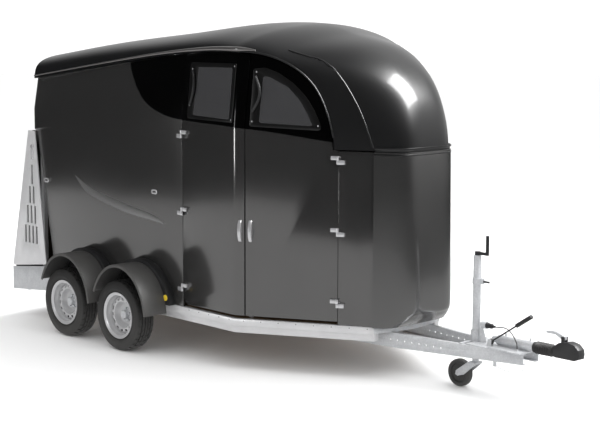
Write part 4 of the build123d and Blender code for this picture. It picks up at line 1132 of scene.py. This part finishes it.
# ---------------------------------------------------------------- trim on the body
@dataclass
class Trim:
    """Small pieces on the walls: relief blade with a painted highlight, reflectors and sill screws.

    Attributes:
        blade_top: The relief's upper line, from the kink.
        blade_foot: Its lower line.
    """

    blade_top: tuple[Pair, ...] = ((-2.152, 1.386), (-1.927, 1.299), (-1.634, 1.237), (-1.28, 1.180),
                                   (-1.007, 1.136), (-0.874, 1.082))
    blade_foot: tuple[Pair, ...] = ((-2.152, 1.384), (-2.003, 1.265), (-1.781, 1.197), (-1.422, 1.128),
                                    (-1.076, 1.098), (-0.874, 1.080))

    def build(self) -> None:
        """Makes every small piece."""
        for side, word in ((1, "right"), (-1, "left")):
            rows = []
            tops, feet = smooth_rows(self.blade_top, 6), smooth_rows(self.blade_foot, 6)
            for k, ((xt, zt), (xf, zf)) in enumerate(zip(tops, feet)):
                share = math.sin(math.pi * k / (len(tops) - 1))
                row = []
                for t, out in ((0.0, 0.0005), (0.10, 0.0030), (0.22, 0.0042), (0.8, 0.0012),
                               (1.0, 0.0005)):
                    lift = 0.0003 + (out - 0.0003) * share
                    point = wall_point(xt + (xf - xt) * t, zt + (zf - zt) * t, lift)
                    row.append(Vector((point.x, point.y * side, point.z)))
                rows.append(row)
            blade = ribbon(rows)
            bmesh.ops.recalc_face_normals(blade, faces=blade.faces[:])
            if blade.faces[0].normal.y * side > 0:
                bmesh.ops.reverse_faces(blade, faces=blade.faces[:])
            bmesh.ops.solidify(blade, geom=blade.faces[:], thickness=0.0002)
            # the blade is dark shell; its pale grey is a painted highlight along the crease
            SHOP.add(f"relief_blade_highlight_{word}", blade, "relief", "trailer", slot="shell_dark")
            reflector = turned([(0.0, 0.006), (0.020, 0.0055), (0.025, 0.004), (0.026, 0.0)],
                               at(-0.792, -side * 1.0100, 0.481), Vector((0, -side, 0)), 40, False)
            SHOP.add(f"reflector_{word}", reflector, "yellow", "trailer", slot="lamp")
            heads = []
            for k in range(13):
                x = -0.56 + k * 0.125
                spot = wall_point(x, 0.405, 0.0062)
                out = wall_point(x, 0.405, 1.0) - wall_point(x, 0.405, 0.0)
                spot.y, out.y = spot.y * side, out.y * side
                heads.append(turned([(0.0, 0.0028), (0.004, 0.0024), (0.0055, 0.0), (0.0055, -0.001)],
                                    spot, out, 12, False))
            SHOP.add(f"sill_screws_{word}", join(heads), "polished", "trailer", slot="stainless")


# ---------------------------------------------------------------- drawbar pieces
@dataclass
class Drawbar:
    """The cords and the bellows on the coupling.

    Attributes:
        shaft_z: Height of the shaft's axis.
        plug_route: Control points of the socket lead, from the kink.
        cable_route: Control points of the breakaway cable, from the kink.
        gaiter_ends: Where the bellows start and end, from the kink.
        run_in: How much shorter they would get when the shaft is home; not used.
    """

    shaft_z: float = 0.420
    plug_route: tuple[Point, ...] = (
        (1.8624, 0, 0.509), (1.899, -0.001, 0.511), (1.950, -0.008, 0.520), (2.003, -0.020, 0.513),
        (2.050, -0.036, 0.491), (2.090, -0.051, 0.460), (2.118, -0.062, 0.426), (2.118, -0.062, 0.3926))
    cable_route: tuple[Point, ...] = (
        (1.9675, -0.112, 0.252), (2.001, -0.108, 0.236), (2.050, -0.103, 0.226), (2.103, -0.098, 0.226),
        (2.154, -0.093, 0.236), (2.199, -0.088, 0.256), (2.232, -0.084, 0.284))
    gaiter_ends: Pair = (2.2323, 2.4087)
    run_in: float = 0.0585

    def cord(self, name: str, route: Sequence[Point], diameter: float, node: str,
             finish: str) -> bpy.types.Object:
        """A cord along its route.

        Args:
            name: The piece's name.
            route: Its control points, from the kink.
            diameter: Its thickness.
            node: The CAD node it stands for.
            finish: Key of its finish.

        Returns:
            The cord's object.
        """
        curve = bpy.data.curves.new(name, "CURVE")
        curve.dimensions = "3D"
        curve.bevel_depth, curve.bevel_resolution = diameter / 2, 5
        curve.resolution_u, curve.use_fill_caps = 16, True
        spline = curve.splines.new("NURBS")
        spline.points.add(len(route) - 1)
        for knot, place in zip(spline.points, route):
            knot.co = (*at(*place), 1)
        spline.order_u = 3
        spline.use_endpoint_u = True
        piece = bpy.data.objects.new(name, curve)
        bpy.context.scene.collection.objects.link(piece)
        curve.materials.append(SHOP.materials[finish])
        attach(piece, "trailer")
        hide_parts(node)
        SHOP.made.append(name)
        return piece

    def length(self, route: Sequence[Point]) -> float:
        """Length of the smooth line that a route controls."""
        curve = bpy.data.curves.new("measure", "CURVE")
        curve.dimensions = "3D"
        curve.resolution_u = 24
        spline = curve.splines.new("NURBS")
        spline.points.add(len(route) - 1)
        for knot, place in zip(spline.points, route):
            knot.co = (*place, 1)
        spline.order_u = 3
        spline.use_endpoint_u = True
        holder = bpy.data.objects.new("measure", curve)
        data = bpy.data.meshes.new_from_object(holder)
        total = sum((data.vertices[e.vertices[0]].co - data.vertices[e.vertices[1]].co).length
                    for e in data.edges)
        bpy.data.objects.remove(holder)
        bpy.data.curves.remove(curve)
        bpy.data.meshes.remove(data)
        return total

    def bellows(self) -> None:
        """The folded gaiter."""
        (start, end), folds = self.gaiter_ends, 7
        profile = [(0.026, 0.0), (0.040, 0.0), (0.041, 0.009), (0.036, 0.012)]
        for k in range(folds):
            left = 0.014 + (end - start - 0.028) * k / folds
            pitch = (end - start - 0.028) / folds
            profile += [(0.0365, left), (0.0385, left + pitch * 0.12), (0.0465, left + pitch * 0.42),
                        (0.0470, left + pitch * 0.5), (0.0465, left + pitch * 0.58),
                        (0.0385, left + pitch * 0.88)]
        reach = end - start
        profile += [(0.0365, reach - 0.014), (0.041, reach - 0.009), (0.040, reach), (0.026, reach)]
        mesh = turned(profile, at(start, 0, self.shaft_z), Vector((1, 0, 0)), 48)
        gaiter = SHOP.add("gaiter", mesh, "rubber", "trailer", ["bellows"])
        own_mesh(gaiter)

    def build(self) -> None:
        """Makes the cords and the gaiter."""
        plug_cord = self.cord("socket_lead", self.plug_route, 0.008, "plug_cable", "rubber")
        self.length(self.plug_route)
        cable = self.cord("safety_cable", self.cable_route, 0.005, "breakaway_cable", "zinc")
        self.length(self.cable_route)
        self.bellows()


# ---------------------------------------------------------------- everything carried over
SOFTENED: dict[str, tuple[str, float]] = {
    "left_wall": ("lacquer", 0.003), "right_wall_rear": ("lacquer", 0.003),
    "right_wall_front": ("lacquer", 0.003), "rear_side_door": ("lacquer", 0.003),
    "front_side_door": ("lacquer", 0.003), "upper_door_left": ("lacquer", 0.003),
    "upper_door_right": ("lacquer", 0.003), "sills": ("alloy", 0.003), "cross_members": ("zinc", 0.002),
    "floor_board": ("ply", 0.001), "door_posts": ("alloy", 0.001), "partition": ("alloy", 0.002),
    "rear_frame": ("alloy", 0.002), "rear_box": ("zinc", 0.0015), "lamps": ("red_lens", 0.004),
    "axle_beams": ("zinc", 0.002), "mudguards_left": ("guard", 0.0015),
    "mudguards_right": ("guard", 0.0015), "inner_guards": ("black_plastic", 0.0015),
    "tie_rings": ("polished", 0.0025), "hinge_brackets": ("polished", 0.0015),
    "rear_door_leaves": ("polished", 0.0015), "front_door_leaves": ("polished", 0.0015),
    "rear_door_handle": ("polished", 0.002), "front_door_handle": ("polished", 0.002),
    "window_grille": ("black_plastic", 0.0), "ramp_panel": ("lacquer", 0.003),
    "ramp_sides": ("alloy", 0.0015), "ramp_latch_left": ("polished", 0.0015),
    "ramp_latch_right": ("polished", 0.0015), "drawbar_rails": ("zinc", 0.0015),
    "coupling_housing": ("zinc", 0.002), "drawbar_brackets": ("zinc", 0.0015),
    "plug": ("black_plastic", 0.002),
    "brake_rod": ("zinc", 0.001), "jockey_tube": ("zinc", 0.001), "jockey_leg": ("zinc", 0.001),
    "jockey_fork": ("zinc", 0.001), "jockey_wheel": ("rubber", 0.001),
    "jockey_crank": ("black_plastic", 0.002),
    "clamp_lever": ("black_plastic", 0.0015), "overrun_shaft": ("zinc", 0.001),
    "coupling_head": ("black_plastic", 0.014), "coupling_lever": ("zinc", 0.003),
    "handbrake_lever": ("black_plastic", 0.002),
}


class Studio:
    """Floor, lights, background and camera."""

    POOL = (7.0, 8.0, 0.60, 0.02)      # near and far distance, and the glow at each
    ROOM = (-0.25, 0.75, 0.018, 0.75)  # how the room brightens from its right to its left
    WHITE = 1.18                       # the background as the eye sees it
    FLOOR_RADIUS = 60.0
    CAMERA_PLACE = (8.792, -8.3593, 2.7955)
    CAMERA_ANGLES = (46.34, 7.67, 0.195)   # turn, dip and roll in degrees
    # name, place, target, size, power, and whether only reflections show it
    LIGHTS = (("key", (-5.0, 7.0, 8.0), (0, 0, 1.0), (6.0, 6.0), 900, False),
              ("fill", (5.9, 1.6, 8.8), (1.3, 0.1, 2.3), (6.0, 6.0), 500, False),
              ("front", (5.9, 2.4, 8.4), (1.3, 0.1, 2.3), (6.5, 5.5), 3400, True),
              ("strip", (-3.2, -11.0, 1.9), (0.25, -0.95, 1.5), (0.9, 2.6), 100, True))

    def floor(self) -> None:
        """A wide pale floor."""
        mesh = bmesh.new()
        bmesh.ops.create_circle(mesh, cap_ends=True, segments=96, radius=self.FLOOR_RADIUS)
        data = bpy.data.meshes.new("studio_floor")
        mesh.to_mesh(data)
        mesh.free()
        floor = bpy.data.objects.new("studio_floor", data)
        bpy.context.scene.collection.objects.link(floor)
        mat = bpy.data.materials.new("studio floor")
        mat.use_nodes = True
        nodes, links = mat.node_tree.nodes, mat.node_tree.links
        shader = nodes["Principled BSDF"]
        shader.inputs["Base Color"].default_value = (0.88, 0.88, 0.88, 1)
        shader.inputs["Roughness"].default_value = 0.8
        shader.inputs["Specular IOR Level"].default_value = 0.1
        # glossy surfaces see the floor lit near the object only, as in a dark room
        coords = nodes.new("ShaderNodeTexCoord")
        distance = nodes.new("ShaderNodeVectorMath")
        distance.operation = "LENGTH"
        pool = map_range(mat.node_tree, self.POOL, smooth=True)
        glow = nodes.new("ShaderNodeEmission")
        path = nodes.new("ShaderNodeLightPath")
        mix = nodes.new("ShaderNodeMixShader")
        links.new(coords.outputs["Object"], distance.inputs[0])
        links.new(distance.outputs["Value"], pool.inputs["Value"])
        links.new(pool.outputs[0], glow.inputs["Strength"])
        links.new(path.outputs["Is Glossy Ray"], mix.inputs["Fac"])
        links.new(shader.outputs[0], mix.inputs[1])
        links.new(glow.outputs[0], mix.inputs[2])
        links.new(mix.outputs[0], nodes["Material Output"].inputs["Surface"])
        data.materials.append(mat)

    @staticmethod
    def light(name: str, place: Point, target: Point, size: Pair, power: float,
              mirrored: bool = False) -> None:
        """A soft rectangular lamp.

        Args:
            name: Its name.
            place: Where it stands.
            target: What it faces.
            size: Width and height.
            power: Watts.
            mirrored: Whether only glossy surfaces show it, or only matt ones.
        """
        data = bpy.data.lights.new(name, "AREA")
        data.shape = "RECTANGLE"
        data.size, data.size_y = size
        data.energy = power
        lamp = bpy.data.objects.new(name, data)
        lamp.location = place
        lamp.visible_glossy = mirrored
        lamp.visible_diffuse = not mirrored
        lamp.rotation_euler = (Vector(target) - Vector(place)).to_track_quat("-Z", "Y").to_euler()
        bpy.context.scene.collection.objects.link(lamp)

    def world(self) -> None:
        """White to the eye, and for reflections a room that is bright on the trailer's left."""
        world = bpy.data.worlds.new("studio")
        bpy.context.scene.world = world
        world.use_nodes = True
        nodes, links = world.node_tree.nodes, world.node_tree.links
        back = nodes["Background"]
        path = nodes.new("ShaderNodeLightPath")
        coords = nodes.new("ShaderNodeTexCoord")
        split = nodes.new("ShaderNodeSeparateXYZ")
        ramp = map_range(world.node_tree, self.ROOM, smooth=True)
        white = nodes.new("ShaderNodeBackground")
        white.inputs["Color"].default_value = (1, 1, 1, 1)
        white.inputs["Strength"].default_value = self.WHITE
        mix = nodes.new("ShaderNodeMixShader")
        out = nodes["World Output"]
        back.inputs["Color"].default_value = (1, 1, 1, 1)
        links.new(coords.outputs["Generated"], split.inputs[0])
        links.new(split.outputs["Y"], ramp.inputs["Value"])
        links.new(ramp.outputs[0], back.inputs["Strength"])
        links.new(path.outputs["Is Glossy Ray"], mix.inputs["Fac"])
        links.new(white.outputs[0], mix.inputs[1])
        links.new(back.outputs[0], mix.inputs[2])
        links.new(mix.outputs[0], out.inputs["Surface"])

    def camera(self) -> None:
        """The camera at the front right."""
        data = bpy.data.cameras.new("camera")
        data.lens, data.sensor_width = 87.2, 36.0
        camera = bpy.data.objects.new("camera", data)
        bpy.context.scene.collection.objects.link(camera)
        turn, down, roll = (math.radians(a) for a in self.CAMERA_ANGLES)
        look = Vector((-math.sin(turn) * math.cos(down), math.cos(turn) * math.cos(down),
                       -math.sin(down)))
        camera.matrix_world = (Matrix.Translation(self.CAMERA_PLACE)
                               @ look.to_track_quat("-Z", "Y").to_matrix().to_4x4()
                               @ Matrix.Rotation(roll, 4, "Z"))
        bpy.context.scene.camera = camera

    def build(self) -> None:
        """Sets the whole studio up."""
        self.floor()
        self.world()
        self.camera()
        for row in self.LIGHTS:
            self.light(*row)
        bpy.context.scene.view_settings.view_transform = "Standard"


def build_trailer() -> None:
    """Builds every sub-assembly in order."""
    SHOP.prepare()
    Studio().build()
    for node, (finish, width) in SOFTENED.items():
        SHOP.soften(node, finish, width=width)
    for maker in (Hood(), Nose(), Trim(), Drawbar()):
        maker.build()
    Window("rear_window", "rear_window", "rear_sash",
           ((-0.575, 1.985), (-0.575, 2.405), (-0.560, 2.425), (-0.022, 2.425), (-0.022, 1.968),
            (-0.560, 1.975)),
           ((-0.500, 2.004), (-0.472, 2.388), (-0.060, 2.393), (-0.060, 1.990)),
           ((-0.545, 2.372), (-0.555, 2.080), (-0.040, 2.405), (-0.040, 1.990)),
           ((-0.535, 2.360), (-0.545, 2.090))).build()
    Window("front_window", "front_window", "front_sash",
           ((0.110, 1.945), (0.110, 2.390), (0.190, 2.400), (0.290, 2.360), (0.395, 2.285), (0.490, 2.185),
            (0.560, 2.075), (0.615, 1.950), (0.600, 1.925)),
           ((0.175, 1.975), (0.182, 2.334), (0.220, 2.330), (0.360, 2.255), (0.445, 2.160), (0.510, 2.050),
            (0.552, 1.958)),
           ((0.132, 2.365), (0.125, 1.985), (0.590, 1.962)),
           ((0.128, 2.330), (0.122, 2.060))).build()
    for row, x in (("rear", -1.976), ("front", -1.192)):
        for side in (1, -1):
            Wheel(row, side, x).build()
    LOG.info("%d pieces", len(SHOP.made))


if __name__ == "__main__":
    build_trailer()
